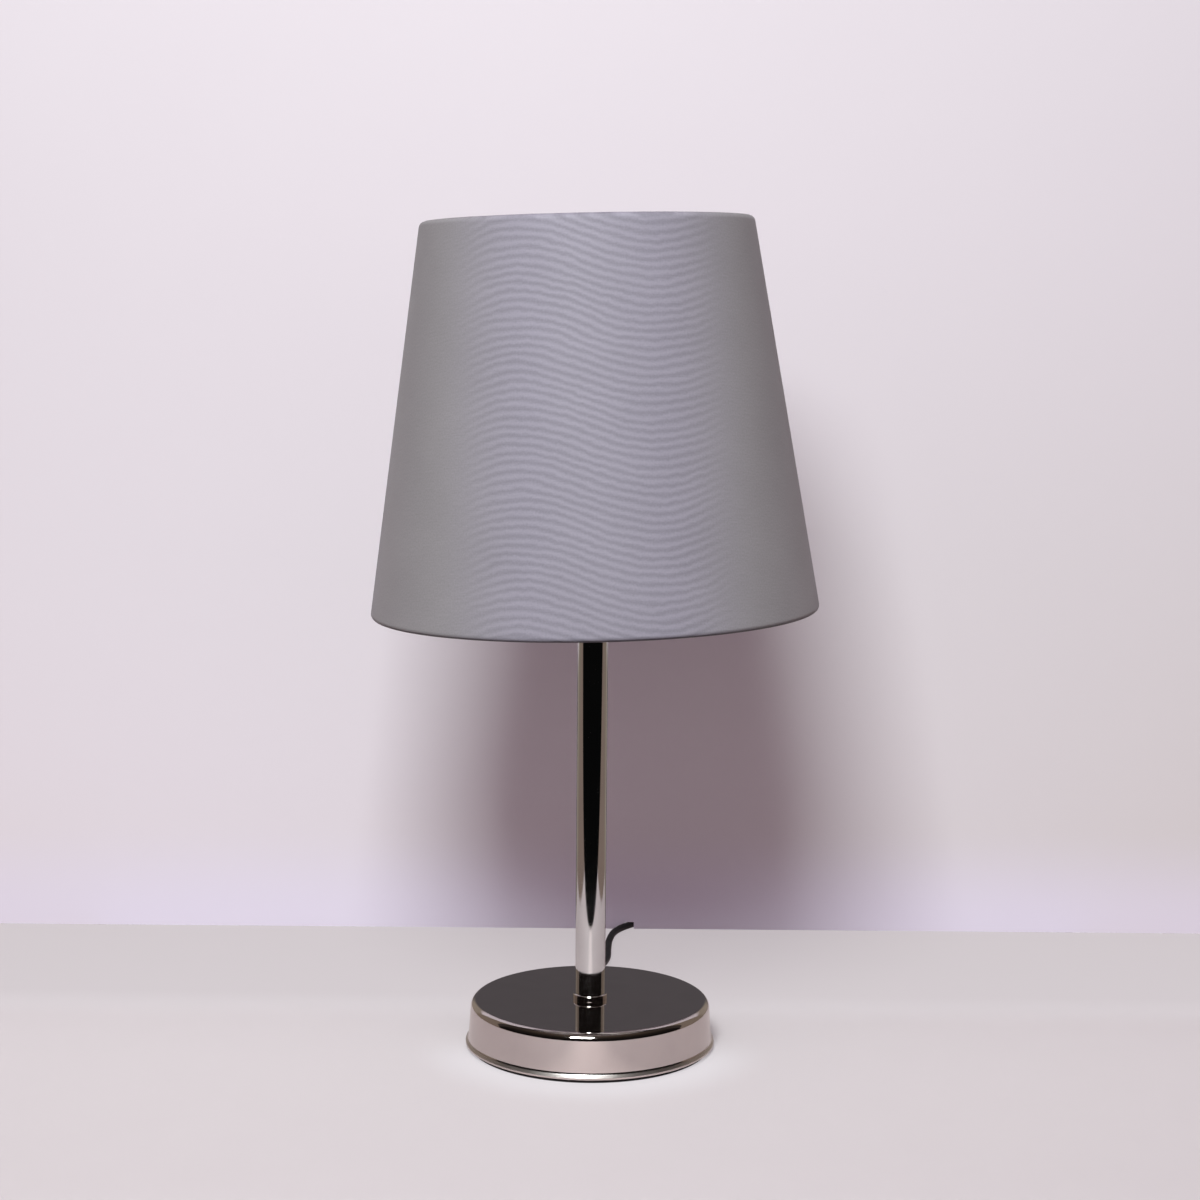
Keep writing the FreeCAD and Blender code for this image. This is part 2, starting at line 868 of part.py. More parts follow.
thread_root = s.thread_radius - s.thread_depth
turns = int(s.thread_turns.value)
skirt_corners = [
    (s.skirt_bore, 0),
    (s.holder_radius, 0),
    (s.holder_radius, s.shoulder_height - s.shoulder_thickness),
    (s.shoulder_radius, s.shoulder_height - s.shoulder_thickness),
    (s.shoulder_radius, s.shoulder_height),
    (thread_root, s.shoulder_height),
]
for ridge in range(turns):
    foot = s.shoulder_height + s.thread_lead + s.thread_pitch * ridge
    skirt_corners.append((thread_root, foot))
    skirt_corners.append((s.thread_radius, foot + s.thread_pitch * RIDGE_SHARE))
    skirt_corners.append((s.thread_radius, foot + s.thread_pitch * HALF_SHARE))
    skirt_corners.append((thread_root, foot + s.thread_pitch * (HALF_SHARE + RIDGE_SHARE)))
skirt_height = s.shoulder_height + s.thread_lead * 2 + s.thread_pitch * s.thread_turns
skirt_corners += [(thread_root, skirt_height), (s.skirt_bore, skirt_height)]
holder_skirt = new_body("holder_skirt", up=stem_top + s.cap_height)
turn(holder_skirt, skirt_corners)

insert_start = stem_top + s.cap_height - s.insert_drop
insert_height = s.insert_drop + skirt_height - s.insert_top_gap
socket_bore = s.thread_e14_radius + s.socket_play
socket_outside = socket_bore + s.socket_wall
cup_radius = socket_outside + s.screw_play
holder_insert = new_body("holder_insert", up=insert_start)
turn(
    holder_insert,
    [
        (0, 0),
        (s.insert_foot_radius, 0),
        (s.insert_foot_radius, s.insert_foot),
        (cap_bore - s.insert_play, s.insert_foot),
        (cap_bore - s.insert_play, s.insert_drop),
        (s.skirt_bore - s.insert_play, s.insert_drop),
        (s.skirt_bore - s.insert_play, insert_height),
        (cup_radius, insert_height),
        (cup_radius, s.insert_floor),
        (0, s.insert_floor),
    ],
)


def terminal_holes(sketch):
    for side in (-1, 1):
        circle(sketch, s.terminal_screw_radius + s.thread_play, (s.terminal_place * side, 0))


cut(holder_insert, terminal_holes, s.terminal_screw_length + s.screw_play, "terminal_hole")

socket_foot = insert_start + s.insert_floor
screw_shell = new_body("screw_shell", up=socket_foot)
pad(screw_shell, annulus(socket_outside, socket_bore), s.socket_height)

tongue_start = -(s.contact_tail)
tongue_fold = tongue_start + s.contact_thickness * 4
tongue_step = tongue_fold + s.contact_thickness * 4
centre_contact = new_body("centre_contact", up=socket_foot)
pad(
    centre_contact,
    lambda sketch: outline(
        sketch,
        [
            (tongue_start, 0),
            (tongue_fold, 0),
            (tongue_step, s.contact_spring),
            (s.contact_reach, s.contact_spring),
            (s.contact_reach, s.contact_spring + s.contact_thickness),
            (tongue_step - s.contact_thickness * HALF_SHARE, s.contact_spring + s.contact_thickness),
            (tongue_fold - s.contact_thickness * HALF_SHARE, s.contact_thickness),
            (tongue_start, s.contact_thickness),
        ],
    ),
    s.contact_width,
    role="XZ_Plane",
    midplane=True,
)

terminal_foot = insert_start - s.terminal_head_height
group(
    "terminal_screws",
    [
        slotted_screw(
            s.terminal_screw_radius,
            s.terminal_screw_length,
            s.terminal_head_radius,
            s.terminal_head_height,
            vector(s.terminal_place * side, 0, terminal_foot),
        )
        for side in (-1, 1)
    ],
)

# Cord inside the lamp and its two cores

cord_start = float(grommet_start + relief_end)
exit_up_high = float(s.exit_height)
inner_top = float(stem_top + s.holder_nipple_rise - s.wire_bare)
bend_start = float(s.inner_bend_start)
inner_route = [
    vector(0, cord_start, exit_up_high),
    vector(0, s.pocket_radius + s.channel_width, exit_up_high),
    vector(0, bend_start, s.inner_bend_height),
    vector(0, 0, s.inner_bend_height),
    vector(0, 0, inner_top),
]
shaped("inner_cord", cord_tube("inner_cord", inner_route, s.cord_radius))

core_up = float(terminal_foot + s.terminal_head_height * HALF_SHARE)
core_end = float(s.terminal_place - s.terminal_head_radius - s.arm_gap)
core_side = float(s.core_space * HALF_SHARE)
group(
    "core_wires",
    [
        cord_tube(
            "core_wire",
            [
                vector(side * core_side, 0, inner_top),
                vector(side * core_side, 0, core_up),
                vector(side * core_end, 0, core_up),
            ],
            s.core_radius,
        )
        for side in (-1, 1)
    ],
)

# Shade: the fitter ring and the ring nut stand level, the rest leans a little about the fitter

shoulder_top = stem_top + s.cap_height + s.shoulder_height
fitter_foot = shoulder_top + s.fitter_play
fitter_ring = new_body("fitter_ring", up=fitter_foot)
pad(fitter_ring, annulus(s.fitter_radius, s.fitter_bore), s.fitter_thickness)

ring_foot = fitter_foot + s.fitter_thickness + s.fitter_play
ring_bore = s.thread_radius + s.ring_play
shade_ring = new_body("shade_ring", up=ring_foot)
pad(shade_ring, annulus(s.ring_radius, ring_bore), s.ring_height)
knurl_place = s.ring_radius + s.ring_knurl_radius * KNURL_SHARE
knurl = cut(
    shade_ring,
    lambda sketch: circle(sketch, s.ring_knurl_radius, (knurl_place, 0)),
    s.ring_height + s.overrun,
    "knurl",
)
repeat(shade_ring, knurl, s.ring_knurl_count)

pivot_up = fitter_foot + s.fitter_thickness * HALF_SHARE
shade_slope = (s.shade_bottom_radius - s.shade_top_radius) / s.shade_height


def lean(body):
    """Stands a piece of the shade on the shade's foot, leaned about the middle of the fitter ring."""
    body.Placement.Rotation.Axis = FreeCAD.Vector(0, 1, 0)
    body.setExpression("Placement.Rotation.Angle", (-s.shade_lean_angle).text)
    drop = s.shade_drop.text
    angle = s.shade_lean_angle.text
    body.setExpression("Placement.Base.x", f"{drop} * sin({angle} * 1 deg)")
    body.setExpression("Placement.Base.z", f"{pivot_up.text} - {drop} * cos({angle} * 1 deg)")


def on_shade(inset, up, from_top=False):
    """A point of the shade's section: so far in from the outer face, so far from an edge."""
    height = s.shade_height - up if from_top else Size(0, "0") + up
    return s.shade_bottom_radius - shade_slope * height - inset, height


turn_up = s.fabric_thickness + s.shade_play
liner_in = s.fabric_thickness + s.shade_play
liner_out = liner_in + s.liner_thickness
wire_in = liner_out + s.shade_play + s.frame_wire_radius
return_in = wire_in + s.frame_wire_radius + s.shade_play
return_up = turn_up + s.frame_wire_radius * 2 + s.shade_play * 2
flap_in = liner_out + s.shade_play


def hem(from_top):
    """Section of one rolled edge, from the outer face round the wire to the inner face of the cover."""
    foot_radius, foot_up = on_shade(0, Size(0, "0"), from_top)
    inner_foot_radius, _ = on_shade(return_in + s.fabric_thickness, Size(0, "0"), from_top)
    return [
        (foot_radius, foot_up if from_top else 0),
        (inner_foot_radius, foot_up if from_top else 0),
        on_shade(return_in + s.fabric_thickness, return_up, from_top),
        on_shade(flap_in + s.fabric_thickness, s.hem_height, from_top),
        on_shade(flap_in, s.hem_height, from_top),
        on_shade(return_in, return_up, from_top),
        on_shade(return_in, s.fabric_thickness, from_top),
        on_shade(s.fabric_thickness, s.fabric_thickness, from_top),
    ]


shade_cover = new_body("shade_cover")
turn(shade_cover, hem(False) + hem(True)[::-1])
notch_inside = s.shade_bottom_radius - return_in - s.fabric_thickness * 4
notch_outside = on_shade(flap_in, s.hem_height)[0] + s.shade_play * 2
arm_notch = cut(
    shade_cover,
    lambda sketch: rectangle(
        sketch, -s.arm_notch * HALF_SHARE, s.arm_notch * HALF_SHARE, notch_inside, notch_outside
    ),
    s.hem_height,
    "arm_notch",
    lift=s.fabric_thickness,
)
repeat(shade_cover, arm_notch, s.arm_count)
lean(shade_cover)

shade_liner = new_body("shade_liner")
turn(
    shade_liner,
    [
        on_shade(liner_in, turn_up),
        on_shade(liner_in, turn_up, True),
        on_shade(liner_out, turn_up, True),
        on_shade(liner_out, turn_up),
    ],
)
lean(shade_liner)

wire_up = turn_up + s.frame_wire_radius
for name, from_top in (("bottom_ring", False), ("top_ring", True)):
    ring_radius, ring_up = on_shade(wire_in, wire_up, from_top)
    wire_ring = keep(name, doc.addObject("Part::Torus", name))
    bind(wire_ring, {"Radius1": ring_radius, "Radius2": s.frame_wire_radius})
    wire_ring.Placement.Rotation.Axis = FreeCAD.Vector(0, 1, 0)
    angle = s.shade_lean_angle.text
    below = f"({s.shade_drop.text} - {ring_up.text})"
    wire_ring.setExpression("Placement.Rotation.Angle", (-s.shade_lean_angle).text)
    wire_ring.setExpression("Placement.Base.x", f"{below} * sin({angle} * 1 deg)")
    wire_ring.setExpression("Placement.Base.z", f"{pivot_up.text} - {below} * cos({angle} * 1 deg)")
doc.recompute()

bottom_wire_radius = float(on_shade(wire_in, wire_up)[0])
bottom_wire = doc.getObject("bottom_ring").Placement
arms = []
for number in range(int(s.arm_count.value)):
    turned = FreeCAD.Rotation(UP, 360 * number / s.arm_count.value)
    start = turned.multVec(vector(0, s.fitter_radius + s.arm_gap, pivot_up))
    knee = turned.multVec(vector(0, s.fitter_radius + s.arm_knee, pivot_up))
    joint = bottom_wire.multVec(turned.multVec(vector(0, bottom_wire_radius, 0)))
    slant = (joint - knee).normalize()
    end = joint - slant * float(s.frame_wire_radius + s.arm_gap)
    arms.append(cord_tube("spider_arm", [start, knee, end], s.arm_radius))
group("spider_arms", arms)

# Bulb

contact_top = socket_foot + s.contact_spring + s.contact_thickness
button_foot = contact_top + s.contact_gap
bulb_contact = new_body("bulb_contact", up=button_foot)
button = pad(bulb_contact, lambda sketch: circle(sketch, s.button_radius), s.button_height)
soften(bulb_contact, button, edges_at(button, Size(0, "0"), s.button_radius), s.button_height * HALF_SHARE)

insulator_foot = button_foot + s.button_height
e14_root = s.thread_e14_radius - s.thread_e14_depth
bulb_insulator = new_body("bulb_insulator", up=insulator_foot)
turn(
    bulb_insulator,
    [(0, 0), (s.insulator_tip, 0), (e14_root - s.cap_wall, s.insulator_height), (0, s.insulator_height)],
)

cap_foot = insulator_foot + s.insulator_height
cap_corners = [(e14_root - s.cap_wall * 2, 0), (e14_root, 0)]
for ridge in range(int(s.thread_e14_turns.value)):
    foot = s.cap_lead + s.thread_e14_pitch * ridge
    cap_corners.append((e14_root, foot))
    cap_corners.append((s.thread_e14_radius, foot + s.thread_e14_pitch * RIDGE_SHARE))
    cap_corners.append((s.thread_e14_radius, foot + s.thread_e14_pitch * HALF_SHARE))
    cap_corners.append((e14_root, foot + s.thread_e14_pitch * (HALF_SHARE + RIDGE_SHARE)))
flare_foot = s.cap_lead * 2 + s.thread_e14_pitch * s.thread_e14_turns
cap_top = flare_foot + s.cap_flare_height
cap_corners += [
    (e14_root, flare_foot),
    (s.cap_flare, cap_top),
    (s.cap_flare - s.cap_wall, cap_top),
    (e14_root - s.cap_wall, flare_foot),
    (e14_root - s.cap_wall, s.cap_wall),
    (e14_root - s.cap_wall * 2, s.cap_wall),
]
bulb_cap = new_body("bulb_cap", up=cap_foot)
turn(bulb_cap, cap_corners)

glass_foot = cap_foot + cap_top
neck = float(s.glass_neck)
widest = float(s.glass_radius)
belly_up = float(s.glass_belly_height)
tip_radius = float(s.glass_tip)
tip_up = float(s.glass_height)


def arc_reach(across, up):
    """Radius of the arc that leaves the widest place upright and passes a point so far in and so far up."""
    return (across**2 + up**2) / (2 * across)


lower_reach = arc_reach(widest - neck, belly_up)
upper_reach = arc_reach(widest - tip_radius, tip_up - belly_up)


def candle(inset):
    """Half section of the envelope, so far inside its outer face."""
    lower_centre = vector(widest - lower_reach, 0, belly_up)
    upper_centre = vector(widest - upper_reach, 0, belly_up)
    lower = lower_reach - inset
    upper = upper_reach - inset
    start = lower_centre + vector(math.sqrt(lower**2 - belly_up**2), 0, -belly_up)
    side = vector(widest - inset, 0, belly_up)
    rise = tip_up - inset - belly_up
    end = upper_centre + vector(math.sqrt(upper**2 - rise**2), 0, rise)
    halfway_down = (start - lower_centre + side - lower_centre).normalize()
    halfway_up = (end - upper_centre + side - upper_centre).normalize()
    return [
        Part.Arc(start, lower_centre + halfway_down * lower, side).toShape(),
        Part.Arc(side, upper_centre + halfway_up * upper, end).toShape(),
        Part.LineSegment(end, vector(0, 0, end.z)).toShape(),
        Part.LineSegment(vector(0, 0, end.z), vector(0, 0, 0)).toShape(),
        Part.LineSegment(vector(0, 0, 0), start).toShape(),
    ]


def turned_section(edges):
    return Part.Face(Part.Wire(edges)).revolve(vector(0, 0, 0), UP, 360)


glass = turned_section(candle(0)).cut(turned_section(candle(float(s.glass_wall))))
bulb_glass = shaped("bulb_glass", glass.removeSplitter())
bulb_glass.Placement.Base = vector(0, 0, glass_foot)

filament_stem = new_body("filament_stem", up=glass_foot)
mount_foot = s.glass_neck - s.glass_wall - s.mount_play
turn(
    filament_stem,
    [
        (0, 0),
        (mount_foot, 0),
        (mount_foot, s.glass_wall),
        (s.mount_radius, s.mount_radius),
        (s.mount_radius * HALF_SHARE, s.mount_height),
        (0, s.mount_height),
    ],
)
filament_lean = FreeCAD.Rotation(FreeCAD.Vector(0, 1, 0), s.filament_angle.value)
filament_rise = float(s.filament_radius) * math.sin(math.radians(s.filament_angle.value))
filament_circle = s.mount_radius * HALF_SHARE - s.filament_radius
filaments = []
for number in range(int(s.filament_count.value)):
    turned = FreeCAD.Rotation(UP, 360 * number / s.filament_count.value)
    foot = turned.multVec(vector(filament_circle, 0, glass_foot + s.mount_height)) + UP * filament_rise
    heading = turned.multVec(filament_lean.multVec(UP))
    filaments.append(rod(s.filament_radius, s.filament_length, foot, heading))
group("led_filaments", filaments)

# Cord to the switch: out of the strain relief, down to the floor, back along it and round to the right

floor_up = float(s.cord_radius)
switch_up = s.switch_height * HALF_SHARE
switch_across = 42.5
switch_along = 281.0
switch_near = switch_along - float(s.switch_length * HALF_SHARE)
switch_far = switch_along + float(s.switch_length * HALF_SHARE)
grip = float(s.switch_grip)
cord_to_switch_route = [
    vector(0, cord_start, exit_up_high),
    vector(0, 93, exit_up_high),
    vector(1.8, 107, 5.2),
    vector(6.2, 121, 2.2),
    vector(8.6, 135, floor_up),
    vector(8.6, 150, floor_up),
    vector(9.4, 170, floor_up),
    vector(12.8, 188, floor_up),
    vector(24, 203, floor_up),
    vector(34, 213, floor_up),
    vector(41, 226, 2.2),
    vector(switch_across, 239, 5.4),
    vector(switch_across, 249, switch_up),
    vector(switch_across, switch_near + grip, switch_up),
]
shaped("cord_to_switch", cord_tube("cord_to_switch", cord_to_switch_route, s.cord_radius))

cord_from_switch_route = [
    vector(switch_across, switch_far - grip, switch_up),
    vector(switch_across, 317, switch_up),
    vector(42.3, 330, 2.6),
    vector(35, 341.5, floor_up),
    vector(22, 346, floor_up),
    vector(9.2, 340.6, floor_up),
    vector(2.4, 329.6, floor_up),
    vector(-0.4, 312, floor_up),
    vector(-0.9, 294, floor_up),
    vector(0.8, 277, floor_up),
]

# Spare cord: one winding of several layers that goes in and out again

coil_middle = vector(-24.5, 240, 0)
winding_step = float(s.cord_radius * 2 + s.coil_gap)
quarter = math.pi / 2
layer_quarters = int(s.coil_layer_quarters.value)
coil_quarters = int(s.coil_layers.value) * layer_quarters - int(s.coil_cut_quarters.value)
coil_inside = float(s.coil_radius) - winding_step * layer_quarters / 4


def winding(quarters):
    """Place and heading on the winding's centreline after so many quarter turns."""
    layer, along = divmod(quarters, layer_quarters)
    inward = layer % 2 == 0
    travel = winding_step * along / 4
    radius = float(s.coil_radius) - travel if inward else coil_inside + travel
    radius_rate = (-winding_step if inward else winding_step) / (2 * math.pi)
    up = layer
    up_rate = 0
    if along > layer_quarters - 1 or (along < 1 and layer > 0):
        base = layer if along > 1 else layer - 1
        share = (along - layer_quarters + 1) / 2 if along > 1 else (along + 1) / 2
        up = base + share * share * (3 - 2 * share)
        up_rate = 6 * share * (1 - share) / math.pi
    if along == 0 and layer > 0:
        radius_rate = 0
    turned = -quarters * quarter
    outward = FreeCAD.Vector(math.cos(turned), math.sin(turned), 0)
    ahead = FreeCAD.Vector(math.sin(turned), -math.cos(turned), 0)
    place = coil_middle + outward * radius + UP * (floor_up + up * winding_step)
    heading = outward * radius_rate + ahead * radius + UP * (up_rate * winding_step)
    return place, heading.normalize()


def tangent_arc(start, heading, end):
    """The arc that leaves one point along a heading and ends at another."""
    chord = end - start
    length = chord.Length
    chord = chord.normalize()
    turned = heading.getAngle(chord)
    side = (heading - chord * math.cos(turned)).normalize()
    middle = (start + end) * HALF_SHARE + side * (length / 2 * math.tan(turned / 2))
    return Part.Arc(start, middle, end).toShape()


def two_arcs(start, heading, end, end_heading):
    """A pair of arcs with one heading where they meet."""
    chord = end - start
    both = heading + end_heading
    spread = 2 * (1 - heading.dot(end_heading))
    along = chord.dot(both)
    reach = (-along + math.sqrt(along**2 + spread * chord.dot(chord))) / spread
    meeting = (start + end + (heading - end_heading) * reach) * HALF_SHARE
    first = tangent_arc(start, heading, meeting)
    joined_heading = (meeting - (start + heading * reach)).normalize()
    return [first, tangent_arc(meeting, joined_heading, end)]


coil_start, start_heading = winding(0)
coil_end, end_heading = winding(coil_quarters)
straight = float(s.cord_radius * 2)
coil_entry = coil_start - start_heading * straight
coil_exit = coil_end + end_heading * straight
coil_edges = [Part.LineSegment(coil_entry, coil_start).toShape()]
for number in range(coil_quarters):
    here, heading = winding(number)
    there, next_heading = winding(number + 1)
    coil_edges += two_arcs(here, heading, there, next_heading)
coil_edges.append(Part.LineSegment(coil_end, coil_exit).toShape())
coil_wire = Part.Wire(coil_edges)
coil = tube(coil_wire, s.cord_radius, coil_entry, start_heading)
shaped("cord_coil", coil)

steps_per_quarter = 12
trail = [winding(i / steps_per_quarter)[0] for i in range(coil_quarters * steps_per_quarter + 1)]
half_loop = 2 * steps_per_quarter
least = min(
    (trail[i] - trail[j]).Length for i in range(len(trail)) for j in range(i + half_loop, len(trail))
)
coil_share = coil.Volume / (math.pi * floor_up**2 * coil_wire.Length)
print(f"cord_coil: {coil_wire.Length:.1f} mm long, volume share {coil_share:.4f}")
print(f"cord_coil: least gap to itself {least - 2 * floor_up:.2f} mm")

cord_from_switch_route += [coil_entry - start_heading * (straight * 5), coil_entry]
shaped("cord_from_switch", cord_tube("cord_from_switch", cord_from_switch_route, s.cord_radius))

# Cord from the coil to the plug

plug_across = -56.0
boot_start = 286.0
plug_up = float(s.plug_height * HALF_SHARE)
cord_tail_route = [
    coil_exit,
    coil_exit + end_heading * (straight * 2.5),
    vector(-51.5, 263, 12),
    vector(-54.5, 273, 8.4),
    vector(plug_across, 282, plug_up),
    vector(plug_across, boot_start + float(s.boot_grip), plug_up),
]
shaped("cord_tail", cord_tube("cord_tail", cord_tail_route, s.cord_radius))

# Inline switch

case_half_length = s.switch_length * HALF_SHARE
case_half_middle = s.switch_middle * HALF_SHARE
case_half_width = s.switch_width * HALF_SHARE
case_half_end = s.switch_end_width * HALF_SHARE
case_plan = [
    (case_half_end, -case_half_length),
    (case_half_width, -case_half_middle),
    (case_half_width, case_half_middle),
    (case_half_end, case_half_length),
    (-case_half_end, case_half_length),
    (-case_half_width, case_half_middle),
    (-case_half_width, -case_half_middle),
    (-case_half_end, -case_half_length),
]
half_cavity_width = s.switch_cavity_width * HALF_SHARE
half_cavity_length = s.switch_cavity_length * HALF_SHARE
half_slot_width = s.rocker_width * HALF_SHARE + s.rocker_play
half_slot_length = s.rocker_length * HALF_SHARE + s.rocker_play + s.rocker_end_play * 2
half_mouth_length = s.rocker_length * HALF_SHARE + s.rocker_end_play
case_bore = s.cord_radius + s.switch_bore_play


def case_screw_circles(sketch, radius):
    for side in (-1, 1):
        circle(sketch, radius, (s.case_screw_across * side, -(s.case_screw_along * side)))


def case_half(name, up, outer_up):
    """Half of the switch case with its rounded outline and the bore for the cord."""
    body = new_body(name, up=up)
    body.Placement.Base = vector(switch_across, switch_along, up)
    block = pad(body, lambda sketch: outline(sketch, case_plan), switch_up)
    block = soften(body, block, edges_at(block, upright=True), s.switch_round * 2)
    soften(body, block, edges_at(block, outer_up), s.switch_round)
    return body


switch_lower_case = case_half("switch_lower_case", Size(0, "0"), Size(0, "0"))
cut(
    switch_lower_case,
    lambda sketch: circle(sketch, case_bore, (0, switch_up)),
    s.switch_length + s.overrun,
    "cord_bore",
    role="XZ_Plane",
    midplane=True,
)
cut(
    switch_lower_case,
    lambda sketch: rectangle(
        sketch, -half_cavity_width, half_cavity_width, -half_cavity_length, half_cavity_length
    ),
    switch_up,
    "cavity",
    lift=s.switch_wall,
)
cut(
    switch_lower_case,
    lambda sketch: case_screw_circles(sketch, s.case_screw_radius + s.screw_play),
    switch_up + s.overrun,
    "screw_hole",
)
cut(
    switch_lower_case,
    lambda sketch: case_screw_circles(sketch, s.case_head_radius + s.screw_play),
    s.case_head_depth + s.case_head_height,
    "screw_seat",
)

switch_upper_case = case_half("switch_upper_case", switch_up, switch_up)
cut(
    switch_upper_case,
    lambda sketch: circle(sketch, case_bore),
    s.switch_length + s.overrun,
    "cord_bore",
    role="XZ_Plane",
    midplane=True,
)
cut(
    switch_upper_case,
    lambda sketch: rectangle(
        sketch, -half_cavity_width, half_cavity_width, -half_cavity_length, half_cavity_length
    ),
    s.switch_relief,
    "relief",
)
cut(
    switch_upper_case,
    lambda sketch: rectangle(sketch, -half_slot_width, half_slot_width, -half_slot_length, half_slot_length),
    switch_up - s.switch_wall,
    "slot",
)
cut(
    switch_upper_case,
    lambda sketch: rectangle(
        sketch, -half_slot_width, half_slot_width, -half_mouth_length, half_mouth_length
    ),
    switch_up + s.overrun,
    "mouth",
)
cut(
    switch_upper_case,
    lambda sketch: circle(sketch, s.pivot_radius + s.pivot_play, (0, s.pivot_height - switch_up)),
    s.rocker_width + (s.pivot_length + s.rocker_play) * 2,
    "pivot_hole",
    role="YZ_Plane",
    midplane=True,
)
screw_top = s.case_head_depth + s.case_head_height + s.case_screw_length
cut(
    switch_upper_case,
    lambda sketch: case_screw_circles(sketch, s.case_screw_radius + s.thread_play),
    screw_top - switch_up + s.screw_play,
    "screw_hole",
)

switch_rocker = new_body("switch_rocker", up=s.pivot_height)
switch_rocker.Placement.Base = vector(switch_across, switch_along, s.pivot_height)
switch_rocker.Placement.Rotation.Axis = FreeCAD.Vector(1, 0, 0)
switch_rocker.setExpression("Placement.Rotation.Angle", (-s.rocker_angle).text)
half_rocker = s.rocker_length * HALF_SHARE
half_keel = s.rocker_keel_length * HALF_SHARE
pad(
    switch_rocker,
    lambda sketch: outline(
        sketch,
        [
            (-half_rocker, s.rocker_rise),
            (-half_rocker, s.rocker_skirt),
            (-half_keel, -s.rocker_keel),
            (half_keel, -s.rocker_keel),
            (half_rocker, s.rocker_skirt),
            (half_rocker, s.rocker_rise),
            (0, s.rocker_rise - s.rocker_dip),
        ],
    ),
    s.rocker_width,
    role="YZ_Plane",
    midplane=True,
    label="paddle",
)
pad(
    switch_rocker,
    lambda sketch: circle(sketch, s.pivot_radius),
    s.rocker_width + s.pivot_length * 2,
    role="YZ_Plane",
    midplane=True,
    label="pivot",
)

group(
    "switch_screws",
    [
        slotted_screw(
            s.case_screw_radius,
            s.case_screw_length,
            s.case_head_radius,
            s.case_head_height,
            vector(
                switch_across + float(s.case_screw_across) * side,
                switch_along - float(s.case_screw_along) * side,
                s.case_head_depth,
            ),
        )
        for side in (-1, 1)
    ],
)

strip_middle = s.wire_reach - s.strip_length * HALF_SHARE


def contact_strip(side):
    """One contact: a strip on the cavity's floor with an upturned end towards the middle."""
    low = vector(-s.strip_width / 2, -s.strip_length / 2, 0)
    foot = Part.makeBox(float(s.strip_width), float(s.strip_length), float(s.strip_thickness), low)
    tab = Part.makeBox(float(s.strip_width), float(s.strip_thickness), float(s.strip_rise), low)
    strip = foot.fuse(tab).removeSplitter()
    if side < 0:
        strip.rotate(vector(0, 0, 0), UP, 180)
    across = switch_across + float(s.strip_across)
    strip.translate(vector(across, switch_along + float(strip_middle) * side, s.switch_wall))
    return strip


group("switch_contacts", [contact_strip(side) for side in (-1, 1)])


def inside_switch(across, along, up):
    return vector(switch_across + float(across), switch_along + float(along), up)


half_core = s.core_space * HALF_SHARE
cord_end_along = case_half_length - s.switch_grip
core_bend_along = half_cavity_length - s.wire_bend
switched_cores = [
    cord_tube(
        "switched_core",
        [
            inside_switch(half_core, cord_end_along * side, switch_up),
            inside_switch(half_core, core_bend_along * side, switch_up),
            inside_switch(s.strip_across, s.wire_reach * side, s.wire_height),
        ],
        s.core_radius,
    )
    for side in (-1, 1)
]
through_across = -(half_cavity_width - s.core_radius * 2)
through_core = cord_tube(
    "through_core",
    [
        inside_switch(-half_core, -cord_end_along, switch_up),
        inside_switch(-half_core, -core_bend_along, switch_up),
        inside_switch(through_across, -s.wire_reach * HALF_SHARE, s.wire_height),
        inside_switch(through_across, s.wire_reach * HALF_SHARE, s.wire_height),
        inside_switch(-half_core, core_bend_along, switch_up),
        inside_switch(-half_core, cord_end_along, switch_up),
    ],
    s.core_radius,
)
group("switch_wires", [*switched_cores, through_core])

# Plug and its boot

boot_end = boot_start + float(s.boot_length)
plug_boot = new_body("plug_boot")
plug_boot.Placement = FreeCAD.Placement(
    vector(plug_across, boot_start, plug_up), FreeCAD.Rotation(FreeCAD.Vector(1, 0, 0), -90)
)
turn(
    plug_boot,
    [(cord_hole, 0), (s.boot_tip, 0), (s.plug_neck_radius, s.boot_length), (cord_hole, s.boot_length)],
)


def plug_section(width, height, along):
    """A rounded rectangle across the plug, so far in front of its neck."""
    corner = height * CORNER_SHARE
    half_width = width / 2
    half_height = height / 2
    edges = []
    places = []
    for across_side, up_side in ((1, -1), (1, 1), (-1, 1), (-1, -1)):
        centre = FreeCAD.Vector(across_side * (half_width - corner), along, up_side * (half_height - corner))
        across = centre + FreeCAD.Vector(across_side * corner, 0, 0)
        upward = centre + FreeCAD.Vector(0, 0, up_side * corner)
        diagonal = centre + FreeCAD.Vector(across_side * corner, 0, up_side * corner) * math.sqrt(HALF_SHARE)
        first, last = (upward, across) if across_side * up_side < 0 else (across, upward)
        places.append((first, diagonal, last))
    for i, (first, diagonal, last) in enumerate(places):
        edges.append(Part.Arc(first, diagonal, last).toShape())
        edges.append(Part.LineSegment(last, places[(i + 1) % len(places)][0]).toShape())
    return Part.Wire(edges)


